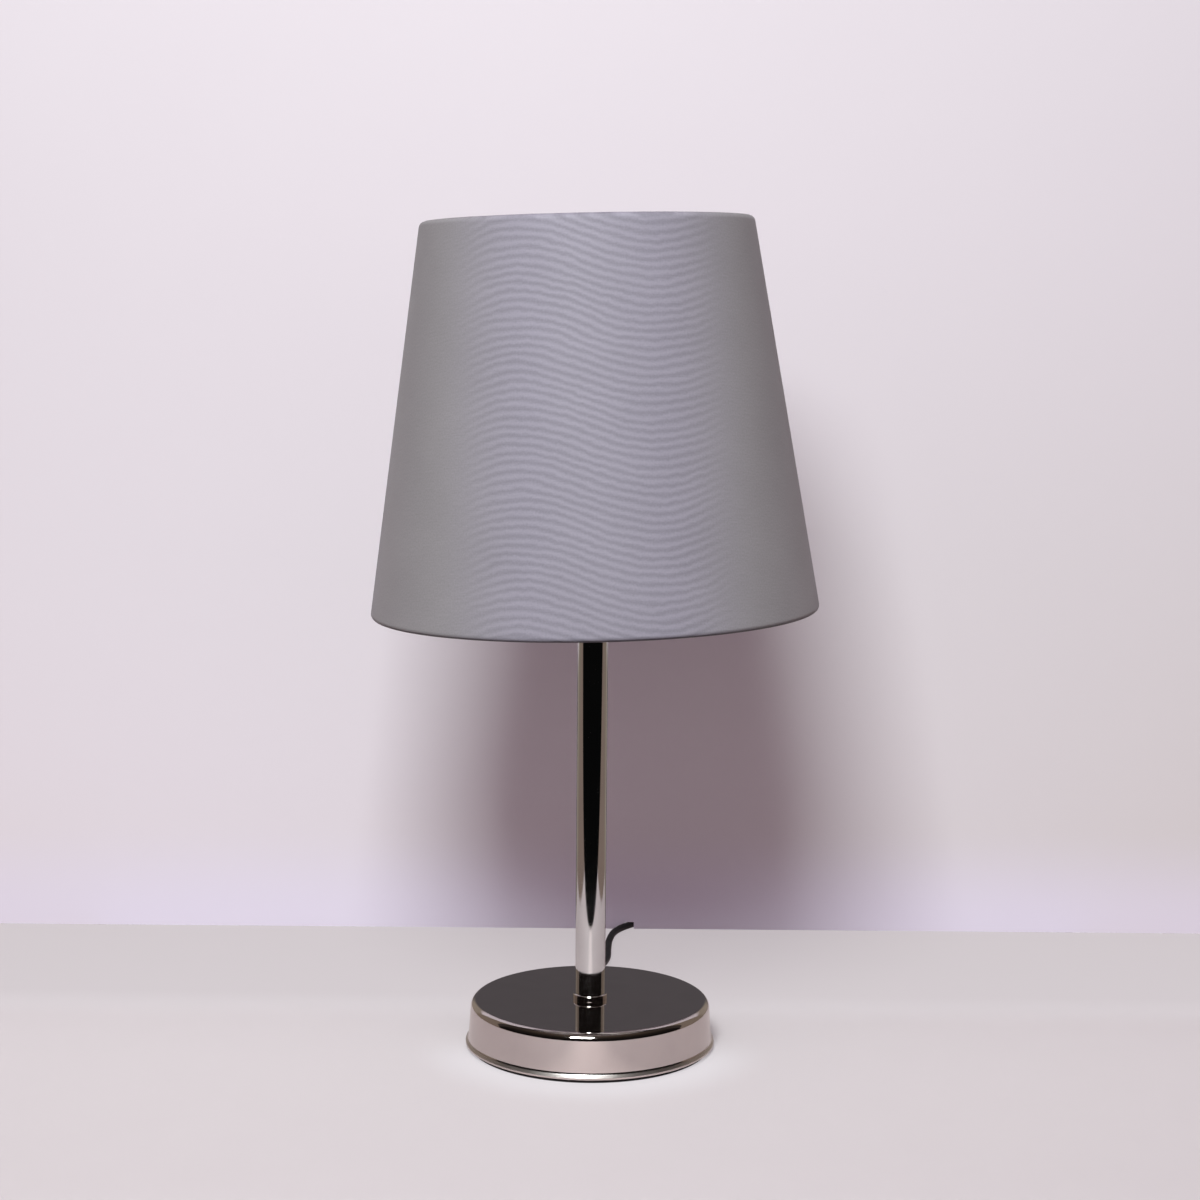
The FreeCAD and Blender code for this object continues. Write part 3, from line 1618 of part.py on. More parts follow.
plug_width = float(s.plug_width)
plug_height = float(s.plug_height)
plug_depth = float(s.plug_depth)
plug_shoulder = plug_depth - float(s.plug_face_depth)
neck_width = float(s.plug_neck_radius * 2)
waist = s.plug_waist_share.value
plug_shape = Part.makeLoft(
    [
        plug_section(neck_width * waist + plug_width * (1 - waist) * HALF_SHARE, neck_width, 0),
        plug_section(plug_width * waist, plug_height * waist, plug_shoulder * HALF_SHARE),
        plug_section(plug_width, plug_height, plug_shoulder),
        plug_section(plug_width, plug_height, plug_depth),
    ],
    True,
    True,
)
pin_foot = plug_depth - float(s.pin_root)
ALONG = FreeCAD.Vector(0, 1, 0)
pins = []
for side in (-1, 1):
    foot = vector(float(s.pin_space) / 2 * side, pin_foot, 0)
    plug_shape = plug_shape.cut(rod(s.pin_radius + s.thread_play, s.pin_root + s.overrun, foot, ALONG))
    sleeved = rod(s.pin_radius - s.sleeve_step, s.pin_root + s.pin_sleeve, foot, ALONG)
    bare_foot = foot + vector(0, float(s.pin_root + s.pin_sleeve), 0)
    bare = rod(s.pin_radius, s.pin_length - s.pin_sleeve, bare_foot, ALONG)
    tip = [edge for edge in bare.Edges if edge.BoundBox.YMin > bare_foot.y + float(s.pin_round)]
    pins.append(sleeved.fuse(bare.makeFillet(float(s.pin_round), tip)))
plug_body = shaped("plug_body", plug_shape)
plug_pins = group("plug_pins", pins)
for piece in (plug_body, plug_pins):
    piece.Placement.Base = vector(plug_across, boot_end, plug_up)

doc.recompute()

for thing in doc.Objects:
    if "Invalid" in thing.State or "Error" in thing.State:
        raise RuntimeError(f"{thing.Name} is {thing.State}")
for name, thing in pieces.items():
    if thing.Shape.isNull() or not thing.Shape.isValid():
        raise RuntimeError(f"{name} has no valid shape")

os.makedirs("parts", exist_ok=True)
for name, thing in pieces.items():
    thing.Shape.exportStep(os.path.join("parts", f"{name}.step"))
cord_length = sum(
    pieces[name].Shape.Volume for name in ("cord_to_switch", "cord_from_switch", "cord_coil", "cord_tail")
) / (math.pi * floor_up**2)
print(f"{len(pieces)} pieces, {cord_length:.0f} mm of free cord")
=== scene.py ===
# %% [markdown]
# A table lamp with a tapered fabric shade. The lamp has a heavy disc base and a straight stem, both chromed,
# a black lampholder with a candle bulb, a grey shade on a white wire frame, and a black cord with a switch
# and a plug. The CAD model holds every solid in its place. This lesson puts smooth surfaces, real finishes,
# a floor, a wall and soft light around it. The lamp's own sizes are in millimetres, divided by a thousand
# for Blender, and so are patterns in a finish. The camera, the wall and the light are placed in metres. The
# lesson starts by loading the imported model.

# %% Load the imported model
import json
import math

import bmesh
import bpy
from mathutils import Matrix, Vector

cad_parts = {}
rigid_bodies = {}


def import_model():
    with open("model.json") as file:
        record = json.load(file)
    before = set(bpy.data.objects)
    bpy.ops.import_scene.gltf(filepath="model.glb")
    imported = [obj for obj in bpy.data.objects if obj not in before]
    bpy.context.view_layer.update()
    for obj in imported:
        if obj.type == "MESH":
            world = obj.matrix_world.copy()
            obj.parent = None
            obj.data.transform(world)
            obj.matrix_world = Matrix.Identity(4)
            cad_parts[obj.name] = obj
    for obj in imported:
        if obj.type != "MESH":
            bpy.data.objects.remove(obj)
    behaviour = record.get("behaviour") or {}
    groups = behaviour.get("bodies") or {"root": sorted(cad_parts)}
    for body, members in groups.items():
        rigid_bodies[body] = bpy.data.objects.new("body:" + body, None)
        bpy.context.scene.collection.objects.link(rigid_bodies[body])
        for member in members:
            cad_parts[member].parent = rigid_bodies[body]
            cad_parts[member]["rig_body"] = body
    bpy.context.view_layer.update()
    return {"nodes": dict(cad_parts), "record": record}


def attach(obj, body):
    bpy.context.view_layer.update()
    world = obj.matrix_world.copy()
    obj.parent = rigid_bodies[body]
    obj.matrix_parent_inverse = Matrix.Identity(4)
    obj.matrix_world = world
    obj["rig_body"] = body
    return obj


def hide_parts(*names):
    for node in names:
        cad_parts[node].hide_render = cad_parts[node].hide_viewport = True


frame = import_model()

nodes = frame["nodes"]

# %% [markdown]
# The camera stands a metre in front of the lamp, a little above its middle, and looks down by seven degrees.
# A long lens keeps the sides of the stem nearly parallel. Its place was found by fitting the outlines of the
# base, the stem and the shade, so the model needs no shifting to fall on the picture.

# %% Camera
CAMERA_AT = (0.003, -1.0214, 0.3339)
LENS, SENSOR_WIDTH = 69.18, 36
DEGREES_DOWN = 7.22
ROLL = 0.0085

camera_data = bpy.data.cameras.new("camera")
camera_data.lens = LENS
camera_data.sensor_width = SENSOR_WIDTH
camera = bpy.data.objects.new("camera", camera_data)
look_down = Matrix.Rotation(math.radians(90 - DEGREES_DOWN), 4, "X")
camera.matrix_world = Matrix.Translation(CAMERA_AT) @ look_down @ Matrix.Rotation(ROLL, 4, "Z")
bpy.context.scene.collection.objects.link(camera)
bpy.context.scene.camera = camera
bpy.context.scene.view_settings.view_transform = "Standard"
print("camera at", [round(v, 3) for v in camera.matrix_world.translation])

# %% [markdown]
# The cord is two lengths of round black cable, one on each side of the switch. A cable bends in smooth
# curves, so each length is one NURBS curve, whose control points are the route that the CAD model's tube
# follows. The spare length is wound up behind the wall's foot: in, out and in again in four layers, one
# on the other, with sixteen control points a turn.

# %% Routes of the cord
CORD_RADIUS = 1.8
FLOOR = CORD_RADIUS
EXIT = (0, 80.7, 9.6)

to_switch = [
    EXIT, (0, 93, 9.6), (1.8, 107, 5.2), (6.2, 121, 2.2), (8.6, 135, FLOOR), (8.6, 150, FLOOR),
    (9.4, 170, FLOOR), (12.8, 188, FLOOR), (24, 203, FLOOR), (34, 213, FLOOR), (41, 226, 2.2),
    (42.5, 239, 5.4), (42.5, 249, 6.5), (42.5, 257, 6.5),
]
from_switch = [
    (42.5, 305, 6.5), (42.5, 317, 6.5), (42.3, 330, 2.6), (35, 341.5, FLOOR), (22, 346, FLOOR),
    (9.2, 340.6, FLOOR), (2.4, 329.6, FLOOR), (-0.4, 312, FLOOR), (-0.9, 294, FLOOR), (0.8, 277, FLOOR),
]
near_plug = [(-51.5, 263, 12), (-54.5, 273, 8.4), (-56, 282, 6.85), (-56, 291, 6.85)]

# %% Winding of the spare cord
COIL_MIDDLE = Vector((-24.5, 240, 0))
COIL_RADIUS = 26.5
STEP = 4.1
LAYER_QUARTERS = 11
COIL_QUARTERS = 42
POINTS_A_QUARTER = 4
POLYGON = math.cos(math.pi / 4 / POINTS_A_QUARTER)
NEAR_COIL, INTO_COIL, OUT_OF_COIL = 3.6, 21.6, 12.6


def winding(quarters):
    """A point on the winding's centreline after so many quarter turns, and its direction outwards."""
    layer, along = divmod(quarters, LAYER_QUARTERS)
    travel = STEP * along / 4
    inside = COIL_RADIUS - STEP * LAYER_QUARTERS / 4
    radius = COIL_RADIUS - travel if layer % 2 == 0 else inside + travel
    height = layer
    if along > LAYER_QUARTERS - 1 or (along < 1 and layer > 0):
        below = layer if along > 1 else layer - 1
        share = (along - LAYER_QUARTERS + 1) / 2 if along > 1 else (along + 1) / 2
        height = below + share * share * (3 - 2 * share)
    outwards = Vector((math.cos(-quarters * math.pi / 2), math.sin(-quarters * math.pi / 2), 0))
    return outwards, radius, FLOOR + height * STEP


coil = []
for number in range(COIL_QUARTERS * POINTS_A_QUARTER):
    outwards, radius, height = winding((number + 0.5) / POINTS_A_QUARTER)
    coil.append(COIL_MIDDLE + outwards * radius / POLYGON + Vector((0, 0, height)))
first_heading = Vector((-STEP / 2 / math.pi, -COIL_RADIUS, 0)).normalized()
coil_start = COIL_MIDDLE + Vector((COIL_RADIUS, 0, FLOOR))
lead_in = [coil_start - first_heading * away for away in (INTO_COIL, NEAR_COIL)]
outwards, radius, height = winding(COIL_QUARTERS)
last_heading = (outwards * STEP / 2 / math.pi + Vector((outwards.y, -outwards.x, 0)) * radius).normalized()
coil_end = COIL_MIDDLE + outwards * radius + Vector((0, 0, height))
lead_out = [coil_end + last_heading * away for away in (NEAR_COIL, OUT_OF_COIL)]
print(len(coil), "control points in the coil")

# %% [markdown]
# A curve's box counts the radius of its points, so the thickness is set there, on a bevel of one metre. The
# same function bends the wires of the shade's frame further down.

# %% A round bar along a curve
def round_bar(name, route, radius, round_steps, long_steps):
    """A bar of one thickness along one NURBS curve, from control points in millimetres."""
    curve = bpy.data.curves.new(name, "CURVE")
    curve.dimensions = "3D"
    curve.bevel_depth = 1
    curve.bevel_resolution = round_steps
    curve.resolution_u = long_steps
    curve.use_fill_caps = True
    spline = curve.splines.new("NURBS")
    spline.points.add(len(route) - 1)
    for point, place in zip(spline.points, route):
        point.co = (*(Vector(place) / 1000), 1)
        point.radius = radius / 1000
    spline.order_u = 3
    spline.use_endpoint_u = True
    return bpy.data.objects.new(name, curve)


# %% Cord curves
def lead(name, route, *replaced):
    """One length of the cord, which stays with the stand."""
    cord = round_bar(name, route, CORD_RADIUS, 6, 8)
    bpy.context.scene.collection.objects.link(cord)
    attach(cord, "stand")
    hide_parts(*replaced)
    length = cord.data.splines[0].calc_length()
    print(name, "length", round(length * 1000, 1), "mm")
    return cord, length


lead_to_switch, length_to_switch = lead("lead_to_switch", to_switch, "cord_to_switch")
lead_to_plug, length_to_plug = lead(
    "lead_to_plug", from_switch + lead_in + coil + lead_out + near_plug,
    "cord_from_switch", "cord_coil", "cord_tail",
)

# %% [markdown]
# Every finish below is a small net of shader nodes. Written node by node such a net is hard to read, so two
# small classes help: Finish makes a material and adds nodes to it, and Wire stands for one socket, so that a
# sum on sockets reads as a sum. Patterns are measured in millimetres on the object itself.

# %% A socket that can be reckoned with
class Wire:
    """One output socket of a finish. Sums on it add Math nodes."""

    def __init__(self, finish, socket):
        self.finish = finish
        self.socket = socket

    def maths(self, operation, *values):
        return self.finish.add("ShaderNodeMath", {"operation": operation}, dict(enumerate(values)))

    def __add__(self, other):
        return self.maths("ADD", self, other)

    __radd__ = __add__

    def __sub__(self, other):
        return self.maths("SUBTRACT", self, other)

    def __rsub__(self, other):
        return self.maths("SUBTRACT", other, self)

    def __mul__(self, other):
        return self.maths("MULTIPLY", self, other)

    __rmul__ = __mul__

    def __truediv__(self, other):
        return self.maths("DIVIDE", self, other)

    def sine(self):
        return self.maths("SINE", self)

    def absolute(self):
        return self.maths("ABSOLUTE", self)

    def larger(self, other):
        return self.maths("MAXIMUM", self, other)

    def between(self, low, high):
        """0 below low, 1 above high, and a smooth step between them."""
        settings = {"interpolation_type": "SMOOTHSTEP"}
        return self.finish.add("ShaderNodeMapRange", settings, {0: self, 1: low, 2: high, 3: 0.0, 4: 1.0})


# %% A finish and its nodes
class Finish:
    """A material, with one method that adds any node to it."""

    def __init__(self, name):
        self.material = bpy.data.materials.new(name)
        self.material.use_nodes = True
        self.tree = self.material.node_tree
        self.tree.nodes.clear()
        place = self.add("ShaderNodeTexCoord", {}, {}, "Object")
        self.place = self.add("ShaderNodeVectorMath", {"operation": "SCALE"}, {0: place, "Scale": 1000.0})

    def add(self, kind, settings, sockets, output=0):
        node = self.tree.nodes.new(kind)
        for name, value in settings.items():
            setattr(node, name, value)
        for name, value in sockets.items():
            if isinstance(value, Wire):
                self.tree.links.new(value.socket, node.inputs[name])
            else:
                node.inputs[name].default_value = value
        return Wire(self, node.outputs[output])

    def parts(self, vector=None):
        """The x, y and z of a vector, in millimetres where none is given."""
        split = self.add("ShaderNodeSeparateXYZ", {}, {0: vector or self.place})
        return [Wire(self, socket) for socket in split.socket.node.outputs]

    def together(self, x, y, z=0.0):
        return self.add("ShaderNodeCombineXYZ", {}, {0: x, 1: y, 2: z})

    def noise(self, size, vector=None, detail=2.0):
        """A soft noise from 0 to 1, whose patches are about so many millimetres across."""
        sockets = {"Vector": vector or self.place, "Scale": 1 / size, "Detail": detail}
        return self.add("ShaderNodeTexNoise", {}, sockets)

    def length(self, vector):
        return self.add("ShaderNodeVectorMath", {"operation": "LENGTH"}, {0: vector}, "Value")

    def mix(self, share, first, second):
        """A colour between two colours."""
        colours = [(*c, 1) if isinstance(c, tuple) else c for c in (first, second)]
        return self.add("ShaderNodeMix", {"data_type": "RGBA"}, {0: share, 6: colours[0], 7: colours[1]}, 2)

    def bump(self, height, depth, normal=None):
        """A normal from a height of 0 to 1 that stands for so many millimetres."""
        sockets = {"Height": height, "Distance": depth / 1000, "Strength": 1.0}
        if normal:
            sockets["Normal"] = normal
        return self.add("ShaderNodeBump", {}, sockets)

    def shade(self, colour, roughness, normal=None, metal=0.0, **fixed):
        """The surface itself. What varies is wired in, and the rest is set on the sockets."""
        sockets = {"Base Color": (*colour, 1) if isinstance(colour, tuple) else colour}
        sockets |= {"Roughness": roughness, "Metallic": metal}
        sockets |= {name.replace("_", " "): value for name, value in fixed.items()}
        if normal:
            sockets["Normal"] = normal
        return self.show(self.add("ShaderNodeBsdfPrincipled", {}, sockets))

    def show(self, surface):
        """Wires a surface to the material's output."""
        output = self.tree.nodes.new("ShaderNodeOutputMaterial")
        self.tree.links.new(surface.socket, output.inputs["Surface"])
        return self.material

# %% [markdown]
# Chrome is a thin bright layer over nickel. It takes its colour from what it mirrors, and itself only dims
# that by a third or more and warms it a little. What tells it from a perfect mirror are faint wiping marks
# and a very slight unevenness from polishing, which soften the edges of the mirrored shapes. The narrow rim
# at the foot of the base isn't polished as well as the rest. The stem is drawn tube, so its marks run round
# it, left by the polishing belt.

# %% Chrome
DULL_BELOW = (3.5, 4.4)


def chrome(name, across, along, tint):
    """Polished chrome whose wiping marks are so long across and along the Z axis."""
    finish = Finish(name)
    x, y, z = finish.parts()
    marks = finish.noise(1.0, finish.together(x / across, y / across, z / along), detail=3.0)
    haze = finish.noise(14.0, detail=3.0)
    foot = 1 - z.between(*DULL_BELOW)
    roughness = 0.035 + 0.05 * haze.between(0.35, 0.75) + 0.035 * marks.between(0.5, 0.8) + 0.30 * foot
    colour = finish.mix(haze.between(0.3, 0.8), tint, tuple(v * 0.94 for v in tint))
    uneven = finish.noise(9.0, detail=1.0)
    normal = finish.bump(uneven, 0.006, finish.bump(marks, 0.0006))
    return finish.shade(colour, roughness, normal, 1.0)


base_chrome = chrome("base_chrome", 6.0, 6.0, (0.60, 0.550, 0.540))
stem_chrome = chrome("stem_chrome", 18.0, 0.8, (0.66, 0.66, 0.665))
print("two chromes, for the base and for the stem")

# %% [markdown]
# The shade's cloth is a satin: fine threads that lie side by side, with a soft sheen. It was cut flat and
# bent to a cone, so its threads run straight on the flat cut and lean towards the sides of the shade. A UV
# map in millimetres of the flat cut carries this. The front shows a watered pattern, wavy bands a few
# millimetres apart that lie nearly level and fade out towards the sides. They are drawn as a slow wave and
# two soft noises added to the height before a faster wave is taken of it. Light is painted into the cloth's
# colour too: a painted sheen makes it bluer round its front, painted light makes it a touch paler at its far
# sides, and painted shade darkens the fold at either edge.

# %% Shape of the shade
SHADE_HEIGHT = 173.0
BOTTOM_RADIUS, TOP_RADIUS = 100.0, 73.1
SLOPE = (BOTTOM_RADIUS - TOP_RADIUS) / SHADE_HEIGHT
SIDE = math.sqrt(1 + SLOPE ** 2)
CONE = math.asin(SLOPE / SIDE)
APEX = BOTTOM_RADIUS / SLOPE * SIDE
print("the cloth's cone ends", round(APEX), "mm up its side")

# %% Shade cloth
FULL_TURN = 2 * math.pi
WARP_PITCH, WEFT_PITCH, BAND_PITCH = 0.42, 0.36, 3.7
WAVE_LENGTH, FRONT_WIDTH = 118.0, 196.0
# The front tones are a painted sheen, the pale side is painted light, and the fold tone is painted shade.
SIDE_TONES = ((0.220, 0.210, 0.220), (0.334, 0.319, 0.334))
PAINTED_SHEEN_TONES = ((0.216, 0.204, 0.245), (0.328, 0.309, 0.372))
PAINTED_SIDE_LIGHT = (1.0, 0.95, 1.0)
PAINTED_FOLD_SHADE = (0.07, 0.068, 0.075)
LOWER_FOLD, UPPER_FOLD = (0.2, 1.3), (171.8, 172.7)


def shade_cloth():
    """The grey satin of the shade, laid out on its flat cut."""
    finish = Finish("shade_cloth")
    flat = finish.add("ShaderNodeUVMap", {"uv_map": "flat_cut"}, {})
    millimetres = finish.add("ShaderNodeVectorMath", {"operation": "SCALE"}, {0: flat, "Scale": 1000.0})
    across, along, _ = finish.parts(millimetres)

    def patches(wide, high, detail):
        return finish.noise(1.0, finish.together(across / wide, along / high), detail=detail)

    warp = (across * (FULL_TURN / WARP_PITCH)).sine()
    weft = (along * (FULL_TURN / WEFT_PITCH)).sine()
    slubs = patches(9.0, 0.5, 3.0)
    cloud = patches(40.0, 26.0, 2.0)
    specks = patches(0.8, 0.8, 1.0)
    slow = ((across + 3.0) * (FULL_TURN / WAVE_LENGTH)).sine()
    height = along + 7.2 * slow + 3.6 * patches(22.0, 16.0, 2.0) + 1.3 * patches(3.4, 5.0, 1.0)
    bands = (height * (FULL_TURN / BAND_PITCH)).sine()
    round_the_front = (across - 2.0) * (FULL_TURN / FRONT_WIDTH)
    shine = round_the_front.maths("COSINE", round_the_front)
    watered = bands * shine.between(-0.5, 0.45)
    grain = 0.5 * slubs + 0.1 * warp + 0.1 * weft
    light = 0.5 + 0.20 * watered + 0.62 * (grain - 0.25) + 0.25 * (cloud - 0.5) + 0.45 * (specks - 0.5)
    light = light.between(0.0, 1.0)
    # Painted light: the far sides a touch paler.
    paint_sides_lighter = 0.10 * across.absolute().between(80.0, 150.0)
    sides = finish.mix(paint_sides_lighter, finish.mix(light, *SIDE_TONES), PAINTED_SIDE_LIGHT)
    # Painted sheen: a bluer tone round the front.
    cloth_with_painted_light = finish.mix(shine.between(-0.9, 0.7), sides, finish.mix(light, *PAINTED_SHEEN_TONES))
    # Painted shade: darker in the fold at either edge.
    up_the_side = (APEX - finish.length(finish.together(across, along - APEX))) * (1 / SIDE)
    fold_shade_painted = 1 - up_the_side.between(*LOWER_FOLD) * (1 - up_the_side.between(*UPPER_FOLD))
    colour = finish.mix(0.62 * fold_shade_painted, cloth_with_painted_light, PAINTED_FOLD_SHADE)
    threads = 0.5 + 0.25 * warp + 0.25 * weft
    normal = finish.bump(threads, 0.03, finish.bump(slubs, 0.02))
    roughness = 0.52 + 0.10 * slubs - 0.05 * watered
    return finish.shade(
        colour, roughness, normal,
        Sheen_Weight=0.05, Sheen_Roughness=0.45, Sheen_Tint=(0.9, 0.88, 0.95, 1), Specular_IOR_Level=0.22,
    )


cloth = shade_cloth()
print("satin with bands", BAND_PITCH, "mm apart")

# %% [markdown]
# The other finishes are quieter. Moulded plastic has a fine grain from the tool and a soft gloss, rubber is
# duller with a little dust, the cable's sheath shows faint lines along it, cast iron is rough and sooty,
# zinc plating is mottled and dull, and brass and nickel are smooth with fine scratches. One function makes
# the plain ones: two near colours in patches, a grain that stands proud, and a roughness that wanders.

# %% A plain finish
def plain(name, first, second, patch, grain, depth, dull, metal=0.0, **fixed):
    """A finish of two near colours in patches, with a grain of so many millimetres in size and in depth."""
    finish = Finish(name)
    patches = finish.noise(patch, detail=3.0).between(0.3, 0.7)
    grains = finish.noise(grain, detail=2.0)
    roughness = dull[0] + (dull[1] - dull[0]) * (0.6 * patches + 0.4 * grains)
    colour = finish.mix(patches, first, second)
    return finish.shade(colour, roughness, finish.bump(grains, depth), metal, **fixed)


def scratched(name, first, second, dull=(0.2, 0.35)):
    """A metal with fine scratches that run round it and a patchy tone."""
    finish = Finish(name)
    x, y, z = finish.parts()
    scratches = finish.noise(1.0, finish.together(x / 3.0, y / 3.0, z / 0.12), detail=3.0)
    patches = finish.noise(6.0, detail=3.0).between(0.3, 0.7)
    roughness = dull[0] + (dull[1] - dull[0]) * (0.5 * scratches + 0.5 * patches)
    return finish.shade(finish.mix(patches, first, second), roughness, finish.bump(scratches, 0.004), 1.0)


# %% Rubber, plastic and cable
soft_pad = plain("soft_pad", (0.012, 0.012, 0.013), (0.022, 0.021, 0.022), 9.0, 0.35, 0.05, (0.75, 0.95))
dull_rubber = plain(
    "dull_rubber", (0.018, 0.018, 0.019), (0.032, 0.031, 0.032), 5.0, 0.2, 0.02, (0.55, 0.8)
)
moulded_black = plain(
    "moulded_black", (0.012, 0.012, 0.013), (0.02, 0.02, 0.021), 7.0, 0.3, 0.018, (0.3, 0.45),
    Coat_Weight=0.15,
)
cable_sheath = plain(
    "cable_sheath", (0.011, 0.011, 0.012), (0.022, 0.021, 0.022), 6.0, 0.5, 0.012, (0.38, 0.55),
    Coat_Weight=0.1,
)
core_sleeve = plain("core_sleeve", (0.20, 0.085, 0.04), (0.28, 0.13, 0.06), 3.0, 0.3, 0.008, (0.4, 0.55))
print("pad, rubber, plastic, cable and core sleeves")

# %% Metals, glass and paint
zinc = plain("zinc", (0.46, 0.46, 0.44), (0.60, 0.59, 0.55), 2.2, 0.25, 0.006, (0.32, 0.5), metal=1.0)
cast_iron = plain(
    "cast_iron", (0.045, 0.043, 0.042), (0.10, 0.095, 0.09), 4.0, 0.6, 0.12, (0.65, 0.85), metal=0.3
)
brass = scratched("brass", (0.62, 0.43, 0.17), (0.74, 0.54, 0.25))
nickel = scratched("nickel", (0.60, 0.57, 0.52), (0.72, 0.69, 0.64), dull=(0.15, 0.3))
white_paint = plain("white_paint", (0.76, 0.76, 0.75), (0.84, 0.84, 0.83), 6.0, 0.8, 0.012, (0.35, 0.5))
backing = plain("backing", (0.80, 0.79, 0.77), (0.86, 0.85, 0.83), 18.0, 0.9, 0.01, (0.45, 0.6))
opal = plain("opal", (0.86, 0.86, 0.82), (0.91, 0.91, 0.88), 12.0, 2.0, 0.004, (0.18, 0.28), Coat_Weight=0.4)
phosphor = plain("phosphor", (0.80, 0.60, 0.12), (0.90, 0.70, 0.20), 1.2, 0.2, 0.02, (0.5, 0.7))
glass_stem = plain(
    "glass_stem", (0.85, 0.88, 0.88), (0.92, 0.94, 0.94), 3.0, 1.5, 0.003, (0.05, 0.12),
    Transmission_Weight=0.8,
)
print("zinc, iron, brass, nickel, paint, backing sheet, opal glass, filament and glass")

# %% [markdown]
# Each material slot of the record gets its finish, and every CAD node takes the finish of its slot. A node
# that gets a smoother piece later only keeps it behind the scenes.

# %% Finishes on the CAD nodes
finishes = {
    "chrome": base_chrome, "zinc_steel": zinc, "iron": cast_iron, "pad": soft_pad,
    "black_rubber": dull_rubber, "cord": cable_sheath, "black_plastic": moulded_black, "brass": brass,
    "nickel": nickel, "opal_glass": opal, "clear_glass": glass_stem, "filament": phosphor,
    "insulation": core_sleeve, "fabric": cloth, "liner": backing, "white_wire": white_paint,
}
slots = {part["node"]: part["material_slot"] for part in frame["record"]["subparts"]}
for name, node in nodes.items():
    node.data.materials.clear()
    node.data.materials.append(finishes[slots[name]])
for cord in (lead_to_switch, lead_to_plug):
    cord.data.materials.append(cable_sheath)
print(len(slots), "nodes have a finish")

# %% [markdown]
# A lathe would turn most pieces of this lamp, and bmesh's spin does the same: a profile of radius and height
# goes once round the Z axis. Where the real edge is rounded, the ring of edges at that corner is bevelled,
# which is quicker to read and to change than a profile with arcs in it.

# %% Turning and rounding
SAME_PLACE = 0.02


def spun(corners, closed, steps):
    """A line of corners in metres, closed or open, turned once about the Z axis."""
    mesh = bmesh.new()
    line = [mesh.verts.new(corner) for corner in corners]
    pairs = zip(line, line[1:] + line[:1] if closed else line[1:])
    sides = [mesh.edges.new(pair) for pair in pairs]
    bmesh.ops.spin(
        mesh, geom=line + sides, cent=(0, 0, 0), axis=(0, 0, 1), angle=2 * math.pi, steps=steps,
        use_merge=True,
    )
    bmesh.ops.remove_doubles(mesh, verts=mesh.verts, dist=1e-6)
    bmesh.ops.recalc_face_normals(mesh, faces=mesh.faces)
    return mesh


def turned(profile, steps=96):
    """A closed profile of radius and height in millimetres, turned about the Z axis."""
    return spun([(radius / 1000, 0, height / 1000) for radius, height in profile], True, steps)


def ring(mesh, radius, height):
    """The edges that run round the Z axis at one radius and height."""
    def there(corner):
        away = abs(math.hypot(*corner.co.xy) * 1000 - radius) + abs(corner.co.z * 1000 - height)
        return away < SAME_PLACE
    return [edge for edge in mesh.edges if all(map(there, edge.verts))]


def rounded(mesh, corners, segments=4):
    """Bevels rings of edges. Each corner is a radius, a height and the width of the bevel."""
    for radius, height, width in corners:
        edges = ring(mesh, radius, height)
        assert edges, f"no edge at radius {radius} and height {height}"
        bmesh.ops.bevel(
            mesh, geom=edges, offset=width / 1000, offset_type="OFFSET", affect="EDGES", segments=segments,
            profile=0.5, material=-1, clamp_overlap=True,
        )
    return mesh


# %% From a mesh to a piece of the lamp
def placed(mesh, name, finish):
    """An object of the scene from a mesh, with its finish."""
    data = bpy.data.meshes.new(name)
    mesh.to_mesh(data)
    mesh.free()
    data.materials.append(finish)
    piece = bpy.data.objects.new(name, data)
    bpy.context.scene.collection.objects.link(piece)
    return piece


def settled(mesh, name, body, slot, *replaced, finish=None, angle=32):
    """Smooth faces, sharp edges past an angle, a finish, a body to ride on and the nodes it is for."""
    piece = placed(mesh, name, finish or finishes[slot])
    piece.data.shade_smooth()
    piece.data.set_sharp_from_angle(angle=math.radians(angle))
    normals = piece.modifiers.new("flat_stays_flat", "WEIGHTED_NORMAL")
    normals.keep_sharp = True
    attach(piece, body)
    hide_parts(*replaced)
    print(name, len(piece.data.polygons), "faces")
    return piece

# %% [markdown]
# The base is a chromed steel cup over an iron weight. Its side leans in a little, its top edge is well
# rounded, and its foot flares out to a narrow rim that stands on a soft pad. The flare draws the dark line
# just above the foot. The cup is turned as one closed profile with its wall, and its corners are bevelled.

# %% Base shell
PAD_TOP, RIM_TOP, FLARE_TOP, CUP_INSIDE, CUP_TOP = 1.8, 2.7, 4.0, 20.6, 21.6
RIM_RADIUS, FLARE_RADIUS, SHOULDER_RADIUS = 56.6, 55.4, 54.1
INNER_SHOULDER, BORE = 53.1, 5.1

shell = turned([
    (54.4, PAD_TOP), (RIM_RADIUS, PAD_TOP), (RIM_RADIUS, RIM_TOP), (FLARE_RADIUS, FLARE_TOP),
    (SHOULDER_RADIUS, CUP_TOP), (BORE, CUP_TOP), (BORE, CUP_INSIDE), (INNER_SHOULDER, CUP_INSIDE),
    (54.3, FLARE_TOP),
], steps=192)
rounded(shell, [(SHOULDER_RADIUS, CUP_TOP, 3.16), (INNER_SHOULDER, CUP_INSIDE, 2.2)], segments=10)
rounded(shell, [
    (RIM_RADIUS, RIM_TOP, 0.157), (FLARE_RADIUS, FLARE_TOP, 0.70), (RIM_RADIUS, PAD_TOP, 0.15),
])
settled(shell, "base_cup", "stand", "chrome", "base_shell", angle=40)

# %% [markdown]
# The stem is a straight chromed tube. A small ring at its foot covers the joint with the base. It has a
# rounded top edge, and the light draws a bright line along it.

# %% Stem and collar
STEM_RADIUS, STEM_TOP = 6.8, 196
COLLAR_BORE, COLLAR_RADIUS, COLLAR_TOP = 6.85, 7.85, 24.2

